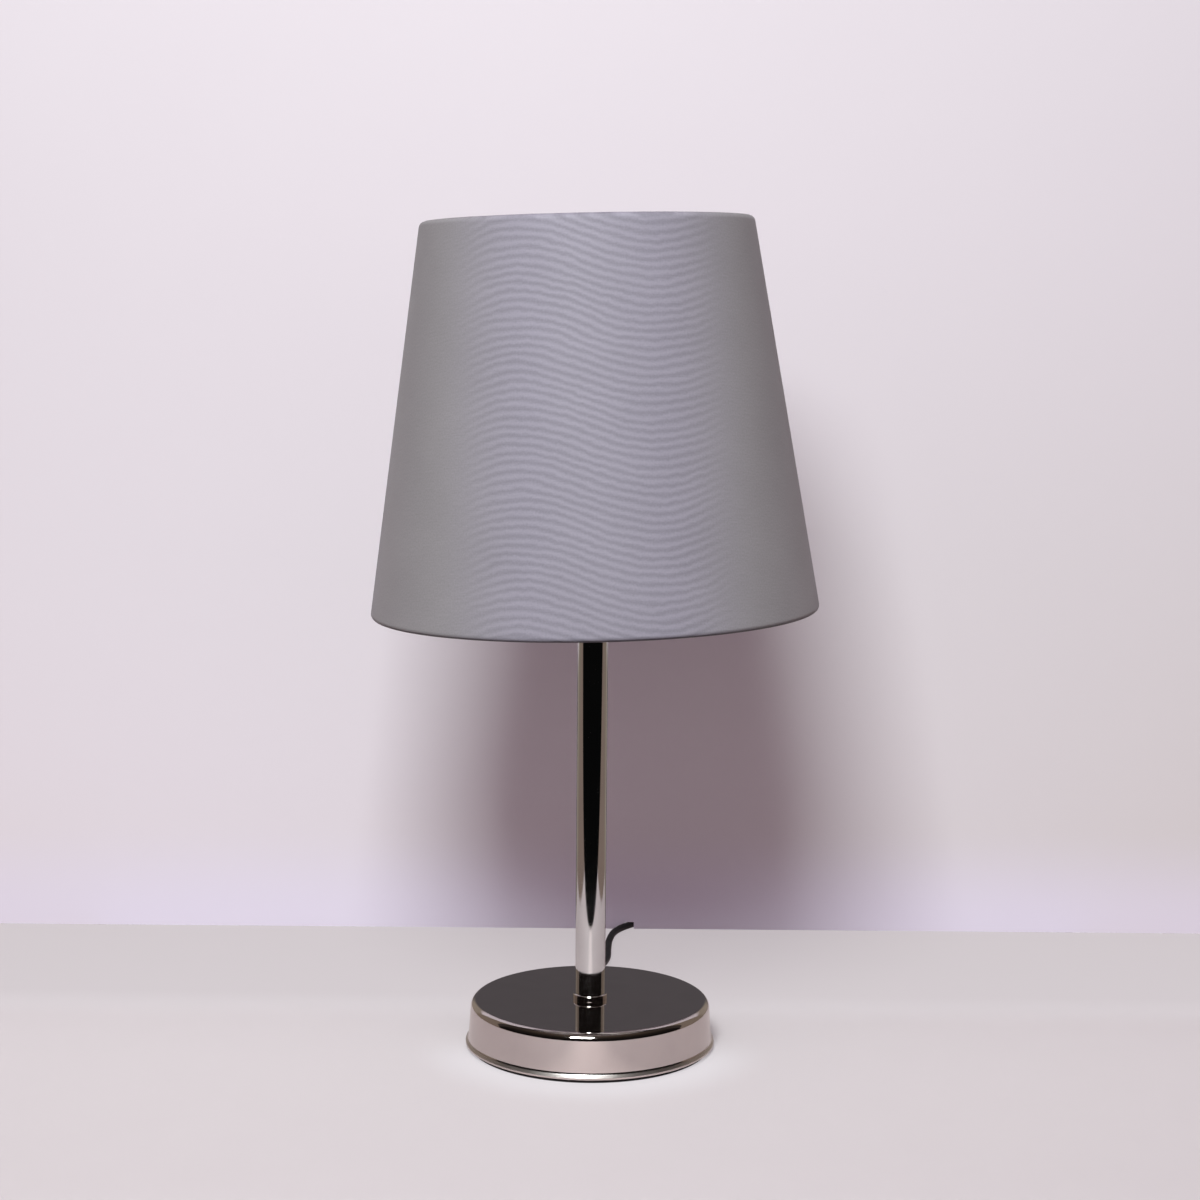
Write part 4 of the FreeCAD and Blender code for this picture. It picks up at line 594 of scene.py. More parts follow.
tube = turned([(STEM_RADIUS, CUP_TOP), (STEM_RADIUS, STEM_TOP), (BORE, STEM_TOP), (BORE, CUP_TOP)])
rounded(tube, [(STEM_RADIUS, STEM_TOP, 0.3)], segments=3)
settled(tube, "stem", "stand", "chrome", "stem_tube", finish=stem_chrome)

collar = turned([
    (COLLAR_BORE, CUP_TOP), (COLLAR_RADIUS, CUP_TOP), (COLLAR_RADIUS, COLLAR_TOP), (COLLAR_BORE, COLLAR_TOP),
])
rounded(collar, [(COLLAR_RADIUS, COLLAR_TOP, 0.8), (COLLAR_RADIUS, CUP_TOP, 0.15)], segments=5)
settled(collar, "foot_ring", "stand", "chrome", "stem_collar")

# %% [markdown]
# The lampholder is moulded from black plastic: a cone-shaped cap below, and a threaded sleeve above with a
# shoulder that carries the shade's ring. The thread is drawn as rings, a good likeness at two millimetres
# pitch. All its long edges are slightly rounded, as on anything that comes out of a mould.

# %% Lampholder
HOLDER_RADIUS, HOLDER_INSIDE, HOLDER_FOOT, NIPPLE_HOLE = 15.2, 13.6, 8.4, 5.3
CAP_EDGE, CAP_TOP, SLEEVE_FOOT = 203.6, 213.9, 214.1
SHOULDER_OUTSIDE, SHOULDER_FOOT, SHOULDER_TOP = 17.5, 226, 228
ROOT_RADIUS, CREST_RADIUS, SLEEVE_INSIDE, SLEEVE_TOP = 13.0, 13.7, 11.9, 248
THREAD_TURNS, THREAD_PITCH, THREAD_FOOT = 9, 2, 229

cap = turned([
    (NIPPLE_HOLE, STEM_TOP), (HOLDER_FOOT, STEM_TOP), (HOLDER_FOOT, 197.2), (HOLDER_RADIUS, CAP_EDGE),
    (HOLDER_RADIUS, CAP_TOP), (HOLDER_INSIDE, CAP_TOP), (HOLDER_INSIDE, 205), (NIPPLE_HOLE, 199),
])
rounded(cap, [
    (HOLDER_FOOT, STEM_TOP, 0.3), (HOLDER_FOOT, 197.2, 0.6), (HOLDER_RADIUS, CAP_EDGE, 2.0),
    (HOLDER_RADIUS, CAP_TOP, 0.35),
])
settled(cap, "holder_foot", "stand", "black_plastic", "holder_cap")

sleeve_profile = [
    (HOLDER_INSIDE, SLEEVE_FOOT), (HOLDER_RADIUS, SLEEVE_FOOT), (HOLDER_RADIUS, SHOULDER_FOOT),
    (SHOULDER_OUTSIDE, SHOULDER_FOOT), (SHOULDER_OUTSIDE, SHOULDER_TOP), (ROOT_RADIUS, SHOULDER_TOP),
]
for turn in range(THREAD_TURNS):
    foot = THREAD_FOOT + turn * THREAD_PITCH
    sleeve_profile += [
        (ROOT_RADIUS, foot), (CREST_RADIUS, foot + 0.5), (CREST_RADIUS, foot + 1.0),
        (ROOT_RADIUS, foot + 1.5),
    ]
sleeve_profile += [(ROOT_RADIUS, SLEEVE_TOP), (SLEEVE_INSIDE, SLEEVE_TOP), (SLEEVE_INSIDE, SHOULDER_TOP)]
sleeve = turned(sleeve_profile)
rounded(sleeve, [
    (HOLDER_RADIUS, SLEEVE_FOOT, 0.35), (HOLDER_RADIUS, SHOULDER_FOOT, 0.5),
    (SHOULDER_OUTSIDE, SHOULDER_FOOT, 0.3), (SHOULDER_OUTSIDE, SHOULDER_TOP, 0.3),
    (ROOT_RADIUS, SLEEVE_TOP, 0.3), (SLEEVE_INSIDE, SLEEVE_TOP, 0.3),
])
settled(sleeve, "holder_sleeve", "stand", "black_plastic", "holder_skirt")

# %% [markdown]
# The ring nut holds the shade down. It is gripped with the fingers, so twenty-four shallow flutes run down
# its side. They are pushed into the turned mesh: each corner on the outside moves inwards by the depth that
# a cosine gives for its place round the ring.

# %% Ring nut
FLUTES, STEPS_A_FLUTE, FLUTE_DEPTH = 24, 8, 0.9
NUT_BORE, NUT_RADIUS, NUT_FOOT, NUT_TOP = 13.9, 18.5, 229.4, 234.4
FLUTED_FROM = 17.8

nut = turned([
    (NUT_BORE, NUT_FOOT), (NUT_RADIUS, NUT_FOOT), (NUT_RADIUS, NUT_TOP), (NUT_BORE, NUT_TOP),
], steps=FLUTES * STEPS_A_FLUTE)
rounded(nut, [
    (NUT_RADIUS, NUT_FOOT, 0.5), (NUT_RADIUS, NUT_TOP, 0.8), (NUT_BORE, NUT_TOP, 0.3),
], segments=3)
for corner in nut.verts:
    radius = math.hypot(*corner.co.xy) * 1000
    if radius > FLUTED_FROM:
        share = (1 - math.cos(FLUTES * math.atan2(corner.co.y, corner.co.x))) / 2
        corner.co.xy *= 1 - FLUTE_DEPTH * share ** 3 / radius
settled(nut, "ring_nut", "stand", "black_plastic", "shade_ring", angle=50)

# %% [markdown]
# The shade is a cone of cloth on a stiff white backing, rolled at both edges round a wire ring. It hangs a
# little crooked, turned by a little over one and a half degrees where its ring sits on the lampholder. All
# its pieces are made upright and then set in place with one matrix.

# %% The shade's place and slope
PIVOT_HEIGHT, SHADE_DROP = 228.7, 29.2
DEGREES_CROOKED = -1.65
SHADE_STEPS = 180
shade_place = (
    Matrix.Translation((0, 0, PIVOT_HEIGHT / 1000)) @ Matrix.Rotation(math.radians(DEGREES_CROOKED), 4, "Y")
    @ Matrix.Translation((0, 0, -SHADE_DROP / 1000))
)


def on_shade(inset, height):
    """Radius and height of a point so far inside the shade's outer face."""
    return BOTTOM_RADIUS - SLOPE * height - inset, height


print("the shade hangs", SHADE_DROP, "mm below its ring")

# %% [markdown]
# The cloth is one strip: down the outside, round under the ring, back up inside and over the ring, where it
# is glued to the backing. The line of its middle is turned round the axis as a sheet without thickness, and
# Solidify gives it half a millimetre. Its UV map is the flat cut, a sector of a wide circle, because that is
# how the threads lie. The cut's straight edges meet at the back, and the lap there counts in its flat size.

# %% Cloth of the shade
CLOTH_THICKNESS = 0.5
MIDDLE = CLOTH_THICKNESS / 2
ROLL_MIDDLE, ROLL_RADIUS, ROLL_STEPS = 2.35, 2.1, 9


def rolled_edge(height, up):
    """The cloth's middle line from the outer face round a ring and back, at one end of the shade."""
    places = [(MIDDLE, 6.0), (MIDDLE, ROLL_MIDDLE)]
    for step in range(1, ROLL_STEPS + 1):
        angle = math.pi + math.pi * step / ROLL_STEPS
        places.append([ROLL_MIDDLE + ROLL_RADIUS * part for part in (math.cos(angle), math.sin(angle))])
    places += [(4.2, 3.6), (3.6, 4.2), (2.6, 4.45), (1.8, 5.0), (1.4, 6.0), (1.35, 9.0)]
    return [on_shade(inset, height + up * rise) for inset, rise in places]


outline = rolled_edge(0, 1)[::-1]
outline += [on_shade(MIDDLE, SHADE_HEIGHT * share / 12) for share in range(1, 12)]
outline += rolled_edge(SHADE_HEIGHT, -1)
cover = spun([(0, radius / 1000, height / 1000) for radius, height in outline], False, SHADE_STEPS)
print(len(outline), "points on the cloth's middle line")

# %% Flat cut of the cloth
FOLDED_IN, FOLD_STRETCH = 0.4, 0.9


def flat_place(point, turn):
    """Where a point of the cone lies on the flat cut, in metres from the middle of its front."""
    radius = math.hypot(point.x, point.y) * 1000
    inset = BOTTOM_RADIUS - SLOPE * point.z * 1000 - radius
    reach = APEX - point.z * 1000 * SIDE + FOLD_STRETCH * max(0, inset - FOLDED_IN)
    angle = turn * math.sin(CONE)
    return reach * math.sin(angle) / 1000, (APEX - reach * math.cos(angle)) / 1000


def map_flat(mesh):
    """Writes the flat cut into a UV map. A turn of zero is the front, and the seam is at the back."""
    flat_cut = mesh.loops.layers.uv.new("flat_cut")
    for face in mesh.faces:
        middle = math.atan2(face.calc_center_median().x, -face.calc_center_median().y)
        for loop in face.loops:
            turn = math.atan2(loop.vert.co.x, -loop.vert.co.y)
            turn += 2 * math.pi * round((middle - turn) / 2 / math.pi)
            loop[flat_cut].uv = flat_place(loop.vert.co, turn)


map_flat(cover)
cover.transform(shade_place)
shade_fabric = settled(cover, "shade_fabric", "shade", "fabric", "shade_cover", angle=60)
thickness = shade_fabric.modifiers.new("thickness", "SOLIDIFY")
thickness.thickness = CLOTH_THICKNESS / 1000
thickness.offset = 0

# %% [markdown]
# Inside, the backing is a white plastic sheet that scatters the light of the bulb. It shows through the open
# top and from below. A closed profile with its own thickness is enough for it.

# %% Backing sheet
BACKING_OUT, BACKING_IN = 0.6, 1.0
BACKING_FOOT, BACKING_TOP = 1.8, 171.2
backing_line = (
    (BACKING_OUT, BACKING_FOOT), (BACKING_OUT, BACKING_TOP), (BACKING_IN, BACKING_TOP),
    (BACKING_IN, BACKING_FOOT),
)
sheet = turned([on_shade(inset, height) for inset, height in backing_line], steps=SHADE_STEPS)
sheet.transform(shade_place)
settled(sheet, "shade_backing", "shade", "liner", "shade_liner")

# %% [markdown]
# The frame is white wire: a flat ring that sits on the lampholder, three arms that run out and down from it,
# and a ring in each rolled edge, which keeps the CAD model's shape. The arms are bent from straight wire, so
# each is a short curve with one soft knee, made a mesh. A small bead of solder joins each arm to the flat
# ring.

# %% Flat ring of the frame
FLAT_BORE, FLAT_RADIUS, FLAT_FOOT, FLAT_TOP = 14.2, 19.0, 228.1, 229.3

flat_ring = turned([
    (FLAT_BORE, FLAT_FOOT), (FLAT_RADIUS, FLAT_FOOT), (FLAT_RADIUS, FLAT_TOP), (FLAT_BORE, FLAT_TOP),
])
rounded(flat_ring, [
    (FLAT_RADIUS, FLAT_FOOT, 0.3), (FLAT_RADIUS, FLAT_TOP, 0.3), (FLAT_BORE, FLAT_FOOT, 0.2),
    (FLAT_BORE, FLAT_TOP, 0.2),
], segments=3)
settled(flat_ring, "frame_ring", "shade", "white_wire", "fitter_ring")

# %% Arms of the frame
ARMS = 3
WIRE_RADIUS, BEAD_RADIUS, BEAD_FLATNESS = 1.3, 1.7, 0.8
ARM_START, BEAD_AT, KNEE_AT = 18.5, 19.2, 28
KNEE_REACH, SHORT_OF_RING = 4, 1.6
RING_RADIUS, RING_HEIGHT = on_shade(2.6, 2.1)

arms = bmesh.new()
for number in range(ARMS):
    spin = Matrix.Rotation(math.radians(360 / ARMS * number), 4, "Z")
    start = spin @ Vector((0, ARM_START, PIVOT_HEIGHT))
    knee = spin @ Vector((0, KNEE_AT, PIVOT_HEIGHT))
    joint = shade_place @ (spin @ Vector((0, RING_RADIUS, RING_HEIGHT)) / 1000) * 1000
    slant = (joint - knee).normalized()
    before = knee - (knee - start).normalized() * KNEE_REACH
    route = [start, before, knee, knee + slant * KNEE_REACH, joint - slant * SHORT_OF_RING]
    arm = round_bar("arm", route, WIRE_RADIUS, 5, 6)
    arms.from_mesh(bpy.data.meshes.new_from_object(arm))
    bpy.data.objects.remove(arm)
    bead = bmesh.ops.create_uvsphere(arms, u_segments=16, v_segments=10, radius=BEAD_RADIUS / 1000)
    bmesh.ops.scale(arms, vec=(1.0, 1.0, BEAD_FLATNESS), verts=bead["verts"])
    bmesh.ops.translate(arms, vec=spin @ Vector((0, BEAD_AT, PIVOT_HEIGHT)) / 1000, verts=bead["verts"])
settled(arms, "frame_arms", "shade", "white_wire", "spider_arms", angle=50)

# %% [markdown]
# The bulb is a candle of opal glass in an E14 cap. Two arcs that meet upright at the widest place give its
# outline, the same arcs as in the CAD model. The profile ends on the axis at both ends, where the spin
# closes the poles.

# %% Bulb
GLASS_FOOT = 247.0
NECK, WIDEST, BELLY, TIP, TOP = 8.2, 17.5, 28.0, 1.6, 74.0
LOWER_POINTS, UPPER_POINTS = 14, 18


def arc_reach(across, up):
    """Radius of the arc that leaves the widest place upright and passes a point so far in and so far up."""
    return (across ** 2 + up ** 2) / 2 / across


candle_line = [(0, GLASS_FOOT)]
UPPER = TOP - BELLY
for reach, first, last, count in (
    (arc_reach(WIDEST - NECK, BELLY), -BELLY, 0, LOWER_POINTS),
    (arc_reach(WIDEST - TIP, UPPER), UPPER / UPPER_POINTS, UPPER, UPPER_POINTS),
):
    for number in range(count):
        rise = first + (last - first) * number / (count - 1)
        candle_line.append((WIDEST - reach + math.sqrt(reach ** 2 - rise ** 2), GLASS_FOOT + BELLY + rise))
candle_line.append((0, GLASS_FOOT + TOP))
glass = turned(candle_line)
rounded(glass, [(TIP, GLASS_FOOT + TOP, 1.2)], segments=5)
settled(glass, "candle_glass", "bulb", "opal_glass", "bulb_glass", angle=60)

# %% [markdown]
# Where the cord leaves the base, a rubber grommet sits in the shell, and a ribbed sleeve keeps the cord from
# kinking. The plug has a sleeve too. Both are turned about the Z axis and then laid along the cord.

# %% Grommet and sleeves
def laid(mesh, x, y, z):
    """Lays a piece turned about the Z axis along the Y axis, at a place in millimetres."""
    mesh.transform(Matrix.Translation(Vector((x, y, z)) / 1000) @ Matrix.Rotation(-math.pi / 2, 4, "X"))
    return mesh


HOLE, FLANGE_RADIUS, NECK_RADIUS, RELIEF_TIP = 1.85, 4.7, 4.0, 2.6
INNER_FLANGE, OUTER_FLANGE, RELIEF_START = 1.2, 3.4, 4.6
RIBS, RIB, GROOVE = 6, 4.0, 0.5
RELIEF_LENGTH = RIBS * RIB
TAPER = (NECK_RADIUS - RELIEF_TIP) / RELIEF_LENGTH
GROMMET_AT = (0, 52.1, 9.6)
PLUG_X, PLUG_Z = -56, 6.85
BOOT_AT = (PLUG_X, 286, PLUG_Z)
RUBBER_STEPS = 64


def on_relief(along, depth=0.0):
    """Radius and height of a point on the strain relief's taper, or so far below it."""
    return NECK_RADIUS - TAPER * along - depth, RELIEF_START + along


profile = [
    (HOLE, 0), (FLANGE_RADIUS, 0), (FLANGE_RADIUS, INNER_FLANGE), (NECK_RADIUS, INNER_FLANGE),
    (NECK_RADIUS, OUTER_FLANGE), (FLANGE_RADIUS, OUTER_FLANGE), (FLANGE_RADIUS, RELIEF_START),
]
for number in range(RIBS):
    foot, land = RIB * number, RIB * (number + 0.5)
    profile += [on_relief(foot), on_relief(land)]
    if number < RIBS - 1:
        profile += [on_relief(land, GROOVE), on_relief(foot + RIB, GROOVE)]
profile += [(RELIEF_TIP, RELIEF_START + RELIEF_LENGTH), (HOLE, RELIEF_START + RELIEF_LENGTH)]
grommet = turned(profile, steps=RUBBER_STEPS)
rounded(grommet, [(FLANGE_RADIUS, OUTER_FLANGE, 0.3), (FLANGE_RADIUS, RELIEF_START, 0.3)], segments=3)
settled(laid(grommet, *GROMMET_AT), "cord_sleeve", "stand", "black_rubber", "cord_grommet")

boot = turned([
    (HOLE, 0), (2.6, 0), (3.2, 7.5), (2.8, 7.7), (2.9, 9.0), (3.32, 9.2), (3.6, 12.5), (3.2, 12.7),
    (3.3, 14.0), (3.72, 14.2), (4.2, 20), (HOLE, 20),
], steps=RUBBER_STEPS)
plug_sleeve = settled(laid(boot, *BOOT_AT), "plug_sleeve", "stand", "black_rubber", "plug_boot")

# %% [markdown]
# The plug's pins are nickel-plated, with black sleeves over the half next to the plug, so that no finger
# reaches live metal. The CAD model has each pin and its sleeve as one solid.

# %% Pins of the plug
PIN_AWAY, PIN_Y, PIN_STEPS = 9.3, 338, 48
CORE_RADIUS, PIN_RADIUS, PIN_ROOT, PIN_TIP = 1.6, 2.0, -8, 19
JACKET_INSIDE, JACKET_OUTSIDE, JACKET_ROOT, JACKET_END = 1.62, 1.8, -2, 10.1

pins = bmesh.new()
pin_sleeves = bmesh.new()
for side in (-1, 1):
    pin = turned([
        (0, PIN_ROOT), (CORE_RADIUS, PIN_ROOT), (CORE_RADIUS, 10), (PIN_RADIUS, 10.2), (PIN_RADIUS, PIN_TIP),
        (0, PIN_TIP),
    ], steps=PIN_STEPS)
    rounded(pin, [(PIN_RADIUS, PIN_TIP, 0.85)], segments=5)
    jacket = turned([
        (JACKET_INSIDE, JACKET_ROOT), (JACKET_OUTSIDE, JACKET_ROOT), (JACKET_OUTSIDE, JACKET_END),
        (JACKET_INSIDE, JACKET_END),
    ], steps=PIN_STEPS)
    for mesh, whole in ((pin, pins), (jacket, pin_sleeves)):
        part = bpy.data.meshes.new("part")
        laid(mesh, PLUG_X + PIN_AWAY * side, PIN_Y, PLUG_Z).to_mesh(part)
        mesh.free()
        whole.from_mesh(part)
plug_prongs = settled(pins, "plug_prongs", "stand", "nickel", "plug_pins")
prong_sleeves = settled(pin_sleeves, "prong_sleeves", "stand", "black_plastic")

# %% [markdown]
# The switch, the plug and the bulb's cap keep the CAD model's own shape, because it has their real edges and
# roundings. Its meshes are loose flat triangles, though. A copy of each is merged, its flat faces are joined
# again, and it is shaded smooth with sharp edges only where two faces meet at more than thirty degrees.

# %% Smooth copies of small pieces
def smooth_copy(node, name):
    """A merged and smoothly shaded copy of a CAD node, on the body that the node rides on."""
    mesh = bmesh.new()
    mesh.from_mesh(nodes[node].data)
    bmesh.ops.remove_doubles(mesh, verts=mesh.verts, dist=2e-6)
    bmesh.ops.dissolve_limit(mesh, angle_limit=math.radians(0.5), verts=mesh.verts, edges=mesh.edges)
    return settled(mesh, name, nodes[node]["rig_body"], slots[node], node, angle=30)


SWITCH_COPIES = {
    "switch_lower_case": "switch_bottom", "switch_upper_case": "switch_top", "switch_rocker": "switch_key",
    "switch_screws": "switch_fixings",
}
switch_pieces = [smooth_copy(node, name) for node, name in SWITCH_COPIES.items()]
plug_block = smooth_copy("plug_body", "plug_block")
smooth_copy("bulb_cap", "bulb_thread")
print("smooth copies of the switch, the plug and the bulb's cap")

# %% [markdown]
# Both lengths of cord have their real length and thickness. The first leaves the rubber sleeve at the back
# of the base and ends in the switch. The second leaves the switch and ends in the plug. The size of the
# shade's cloth follows from its flat cut, with a lap at the seam and a hem at each edge.

# %% Size of the cloth's flat cut
HEM, LAP = 15, 10

half_sector = math.pi * math.sin(CONE)
cut_width = 2 * APEX * math.sin(half_sector)
cut_height = APEX - (APEX - SHADE_HEIGHT * SIDE) * math.cos(half_sector)
(cut_width + LAP) / 1000
(cut_height + 2 * HEM) / 1000
print("cut of the cloth", round(cut_width), "by", round(cut_height), "mm without lap and hems")

# %% [markdown]
# The lamp stands on a pale table top before a pale wall, and each of the two has three tones. The eye sees a
# soft pale one with painted light in it: the table grows lighter towards the back, a painted halo of light
# lies on it in front of the base, and a glowing strip of painted light behind the base takes out the lamp's
# shadow there. The wall is painted lighter on the left than on the right, and evens out higher up, with a
# bluer band at its foot. What chrome mirrors is a room: the table top ends a hand's width in front of the
# lamp and the dark begins, brown on the sides, and the table is painted brighter straight in front of the
# lamp, a painted highlight in the chrome. The low part of the wall is painted in shadow, darkest behind the
# lamp, and the wall's high part and far sides are painted dark, as unlit. All other rays meet a darker tone,
# so that little colour is thrown back on the lamp. Is Camera Ray and Is Glossy Ray tell them apart. The wall
# has a low gap for the cord, and can be looked through from behind.

# %% Tones of the stage
# Painted light: the table's tone grows lighter from the front to the back.
FLOOR_BACK, FLOOR_FRONT = (0.76, 0.72, 0.74), (0.645, 0.60, 0.62)
FLOOR_BOUNCE = (0.27, 0.21, 0.225)
# Painted highlight: the first mirrored tone makes the table brighter in chrome straight in front of the
# lamp.
FLOOR_MIRRORED = ((0.90, 0.80, 0.79), (0.67, 0.60, 0.60))
# Painted light: a halo on the table in front of the base, and a strip behind it that takes out the lamp's
# shadow.
PAINTED_HALO_TONE, PAINTED_BACK_LIGHT = (0.80, 0.765, 0.80), (0.66, 0.61, 0.635)
DARK_SIDE, DARK_FRONT = (0.25, 0.185, 0.155), (0.003, 0.003, 0.003)
# Painted light: the wall lighter on the left and evening out higher up. The foot is bluer.
WALL_LEFT, WALL_RIGHT = (0.83, 0.775, 0.84), (0.765, 0.72, 0.75)
WALL_TOP, WALL_FOOT = (0.755, 0.70, 0.755), (0.84, 0.79, 0.93)
WALL_BOUNCE = (0.40, 0.34, 0.365)
# Painted shade in chrome: the low wall in shadow, darkest behind the lamp, and the high wall and far sides
# unlit.
LOW_WALL, PAINTED_SHADOW_BEHIND_LAMP = (0.34, 0.29, 0.24), (0.105, 0.096, 0.102)
FAR_ASIDE, HIGH_WALL = (0.25, 0.20, 0.16), (0.05, 0.04, 0.035)
WHITE = (1.0, 1.0, 1.0)


# %% Parts of a stage finish
def glowing(finish, colour):
    """A plain tone that no lamp changes."""
    colour = (*colour, 1) if isinstance(colour, tuple) else colour
    return finish.add("ShaderNodeEmission", {}, {"Color": colour})


def lit(finish, colour, roughness):
    """A dull surface."""
    return finish.add("ShaderNodeBsdfPrincipled", {}, {"Base Color": colour, "Roughness": roughness})


def either(finish, share, first, second):
    """A surface between two surfaces."""
    return finish.add("ShaderNodeMixShader", {}, {0: share, 1: first, 2: second})


def ray(finish, kind):
    """1 for rays of one kind, and 0 for the others."""
    return finish.add("ShaderNodeLightPath", {}, {}, kind)


def stage_piece(mesh, name, finish):
    """A floor or wall, which isn't part of the lamp."""
    piece = placed(mesh, name, finish)
    print(name, "faces", [round(v, 2) for v in piece.data.polygons[0].normal])


# %% Floor
FLOOR_SIZE = 8
HALO_REACH, HALO_ENDS = (58.0, 86.0), (-35.0, 15.0)
WALL_FOOT_SEEN = (185.0, 188.5)
TABLE_EDGE, TABLE_SIDE = (-215.0, -203.0), (255.0, 275.0)

top = Finish("table_top")
x, y, _ = top.parts()
eye, mirrored = ray(top, "Is Camera Ray"), ray(top, "Is Glossy Ray")
# Painted light: lighter towards the back.
plain_top = top.mix(y.between(-230.0, 40.0), FLOOR_FRONT, FLOOR_BACK)
plain_top = top.mix(0.04 * top.noise(30.0, detail=3.0), plain_top, WHITE)
to_eye = top.mix(y.between(*WALL_FOOT_SEEN), plain_top, WALL_RIGHT)
# Painted highlight in chrome: the table brighter straight in front of the lamp.
in_chrome = top.mix(x.absolute().between(8.0, 55.0), *FLOOR_MIRRORED)
bare = lit(top, top.mix(eye, top.mix(mirrored, FLOOR_BOUNCE, in_chrome), to_eye), 0.7)
# Painted light, for the eye only: a glowing halo in front of the base and a glowing strip behind it that
# takes out the lamp's shadow.
painted_halo = (1 - top.length(top.together(x, y)).between(*HALO_REACH)) * (1 - y.between(*HALO_ENDS))
back = y.between(30.0, 80.0)
painted_glow = glowing(top, top.mix(back, PAINTED_HALO_TONE, PAINTED_BACK_LIGHT))
seen = either(top, 0.7 * painted_halo.larger(back) * eye, bare, painted_glow)
room_front = 1 - y.between(*TABLE_EDGE)
in_room = room_front.larger(x.absolute().between(*TABLE_SIDE))
dark = glowing(top, top.mix(room_front, DARK_SIDE, DARK_FRONT))
floor_finish = top.show(either(top, (1 - eye) * in_room, seen, dark))

plate = bmesh.new()
bmesh.ops.create_grid(plate, x_segments=1, y_segments=1, size=FLOOR_SIZE)
stage_piece(plate, "table_top", floor_finish)

# %% Wall
WALL_AT, WALL_REACH = 0.197, 3
GAP_LEFT, GAP_RIGHT, GAP_HEIGHT = 0.018, 0.0228, 0.0037
SHADOW_TOP, LIT_TOP = (125.0, 165.0), (430.0, 520.0)

paper = Finish("wall")
x, _, z = paper.parts()
eye, mirrored = ray(paper, "Is Camera Ray"), ray(paper, "Is Glossy Ray")
# Painted light: lighter on the left, evening out higher up.
to_eye = paper.mix(x.between(-350.0, 350.0), WALL_LEFT, WALL_RIGHT)
to_eye = paper.mix(z.between(50.0, 420.0), to_eye, WALL_TOP)
to_eye = paper.mix(z.between(5.0, 60.0), WALL_FOOT, to_eye)
to_eye = paper.mix(0.04 * paper.noise(90.0, detail=3.0), to_eye, WHITE)
seen = lit(paper, paper.mix(eye.larger(mirrored), WALL_BOUNCE, to_eye), 0.8)
# Painted shade, in chrome only: the low wall darkest behind the lamp, and the high wall and far sides dark.
high = z.between(*LIT_TOP)
aside = x.absolute().between(230.0, 300.0)
unlit = high.larger(aside).larger(1 - z.between(*SHADOW_TOP))
tones = paper.mix(1 - x.absolute().between(100.0, 150.0), LOW_WALL, PAINTED_SHADOW_BEHIND_LAMP)
painted_wall_shade = glowing(paper, paper.mix(high, paper.mix(aside, tones, FAR_ASIDE), HIGH_WALL))
front = either(paper, mirrored * unlit, seen, painted_wall_shade)
behind = paper.add("ShaderNodeNewGeometry", {}, {}, "Backfacing")
clear = paper.add("ShaderNodeBsdfTransparent", {}, {})
wall_finish = paper.show(either(paper, behind, front, clear))

sheet_of_wall = bmesh.new()
outline = [
    (-WALL_REACH, 0), (GAP_LEFT, 0), (GAP_LEFT, GAP_HEIGHT), (GAP_RIGHT, GAP_HEIGHT), (GAP_RIGHT, 0),
    (WALL_REACH, 0), (WALL_REACH, WALL_REACH), (-WALL_REACH, WALL_REACH),
]
sheet_of_wall.faces.new([sheet_of_wall.verts.new((across, WALL_AT, up)) for across, up in outline])
stage_piece(sheet_of_wall, "wall", wall_finish)

# %% [markdown]
# One soft light from the front, high and a little to the left, throws the shadow on the wall. The world
# fills the shadows with an even, slightly rosy light. In mirrors it is a dim room that grows a little
# lighter overhead, so the chrome keeps its dark parts.

# %% Key light
DEGREES_ROUND, DEGREES_UP, LIGHT_AWAY = -8.5, 40, 1.5
LIGHT_SIZE, LIGHT_WATTS, LIGHT_TONE = 0.5, 24.0, (0.95, 1.0, 0.98)
LIT_POINT = Vector((0, 0, 0.18))

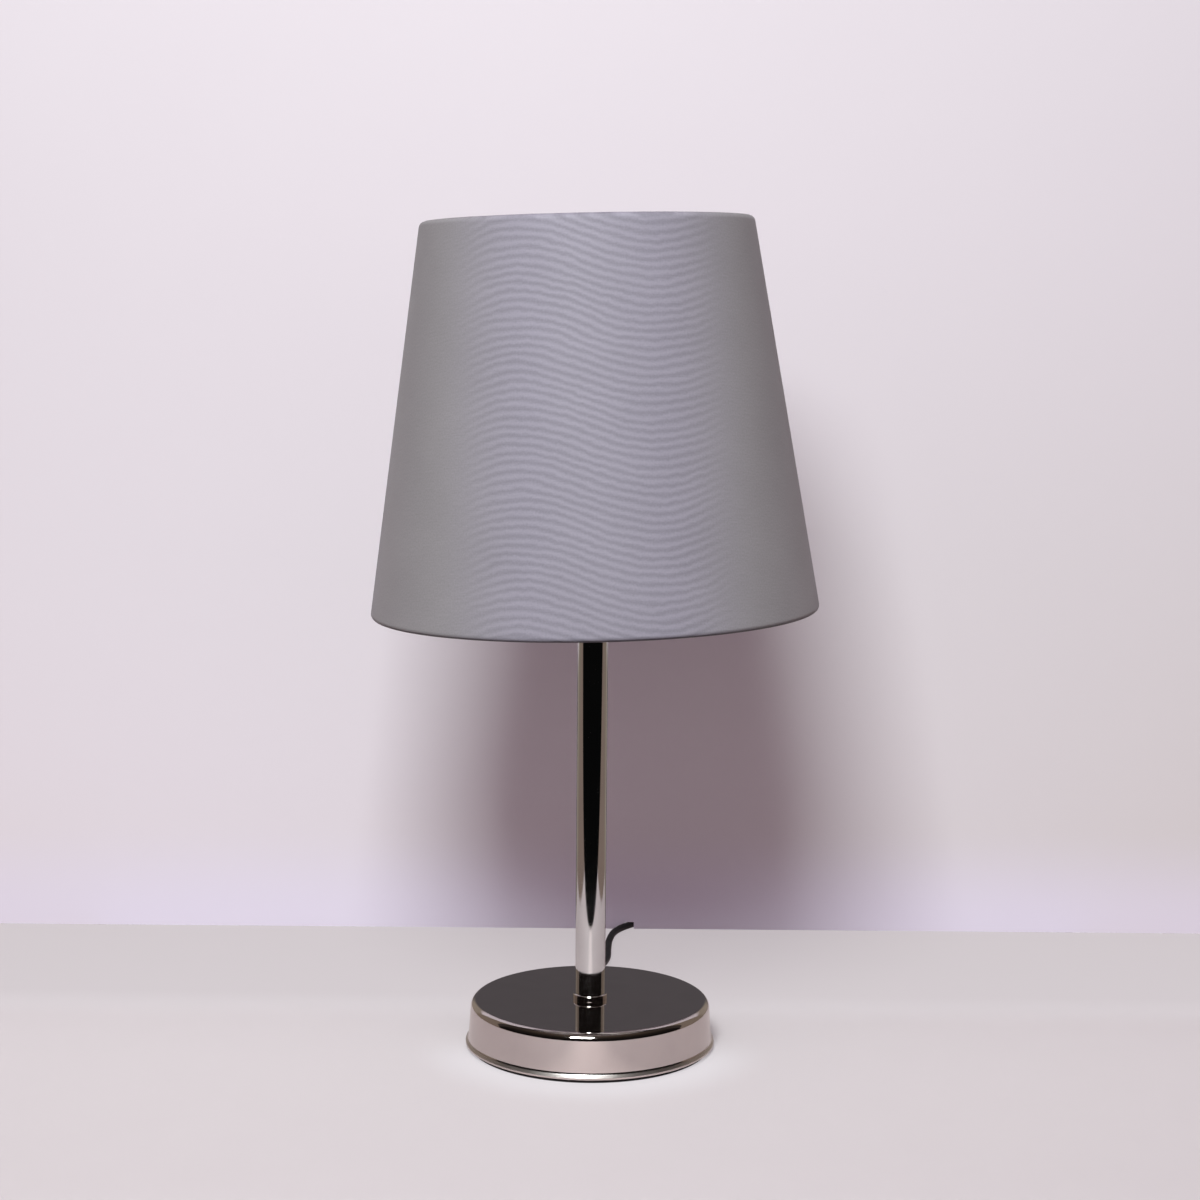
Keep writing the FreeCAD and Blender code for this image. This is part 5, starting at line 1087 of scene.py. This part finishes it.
light = bpy.data.lights.new("key_light", "AREA")
light.shape = "SQUARE"
light.size = LIGHT_SIZE
light.energy = LIGHT_WATTS
light.color = LIGHT_TONE
key_light = bpy.data.objects.new("key_light", light)
turn, rise = math.radians(DEGREES_ROUND), math.radians(DEGREES_UP)
offset = Vector((math.sin(turn) * math.cos(rise), -math.cos(turn) * math.cos(rise), math.sin(rise)))
looking = offset.to_track_quat("Z", "Y").to_matrix().to_4x4()
key_light.matrix_world = Matrix.Translation(LIT_POINT + offset * LIGHT_AWAY) @ looking
bpy.context.scene.collection.objects.link(key_light)
print("key light at", [round(v, 2) for v in key_light.matrix_world.translation])

# %% World
EVEN_TONE, EVEN_STRENGTH = (1.0, 0.80, 0.88), 0.42
ROOM_BY_HEIGHT = [
    (0.0, (0.004, 0.004, 0.004)), (1.0, (0.16, 0.13, 0.11)), (0.30, (0.010, 0.008, 0.007)),
    (0.60, (0.020, 0.015, 0.012)), (0.85, (0.06, 0.045, 0.035)),
]
world = bpy.data.worlds.new("room")
bpy.context.scene.world = world
world.use_nodes = True
room = world.node_tree
room.nodes.clear()
path, direction, level, heights, even, dim, choice, output = [
    room.nodes.new("ShaderNode" + kind) for kind in (
        "LightPath", "TexCoord", "SeparateXYZ", "ValToRGB", "Background", "Background", "MixShader",
        "OutputWorld",
    )
]
even.inputs["Color"].default_value = (*EVEN_TONE, 1)
even.inputs["Strength"].default_value = EVEN_STRENGTH
for number, (height, colour) in enumerate(ROOM_BY_HEIGHT):
    elements = heights.color_ramp.elements
    stop = elements[number] if number < 2 else elements.new(height)
    stop.position = height
    stop.color = (*colour, 1)
for source, target in (
    (direction.outputs["Generated"], level.inputs[0]),
    (level.outputs["Z"], heights.inputs["Fac"]),
    (heights.outputs["Color"], dim.inputs["Color"]),
    (path.outputs["Is Glossy Ray"], choice.inputs[0]),
    (even.outputs[0], choice.inputs[1]),
    (dim.outputs[0], choice.inputs[2]),
    (choice.outputs[0], output.inputs["Surface"]),
):
    room.links.new(source, target)
print(len(room.nodes), "nodes light the room")
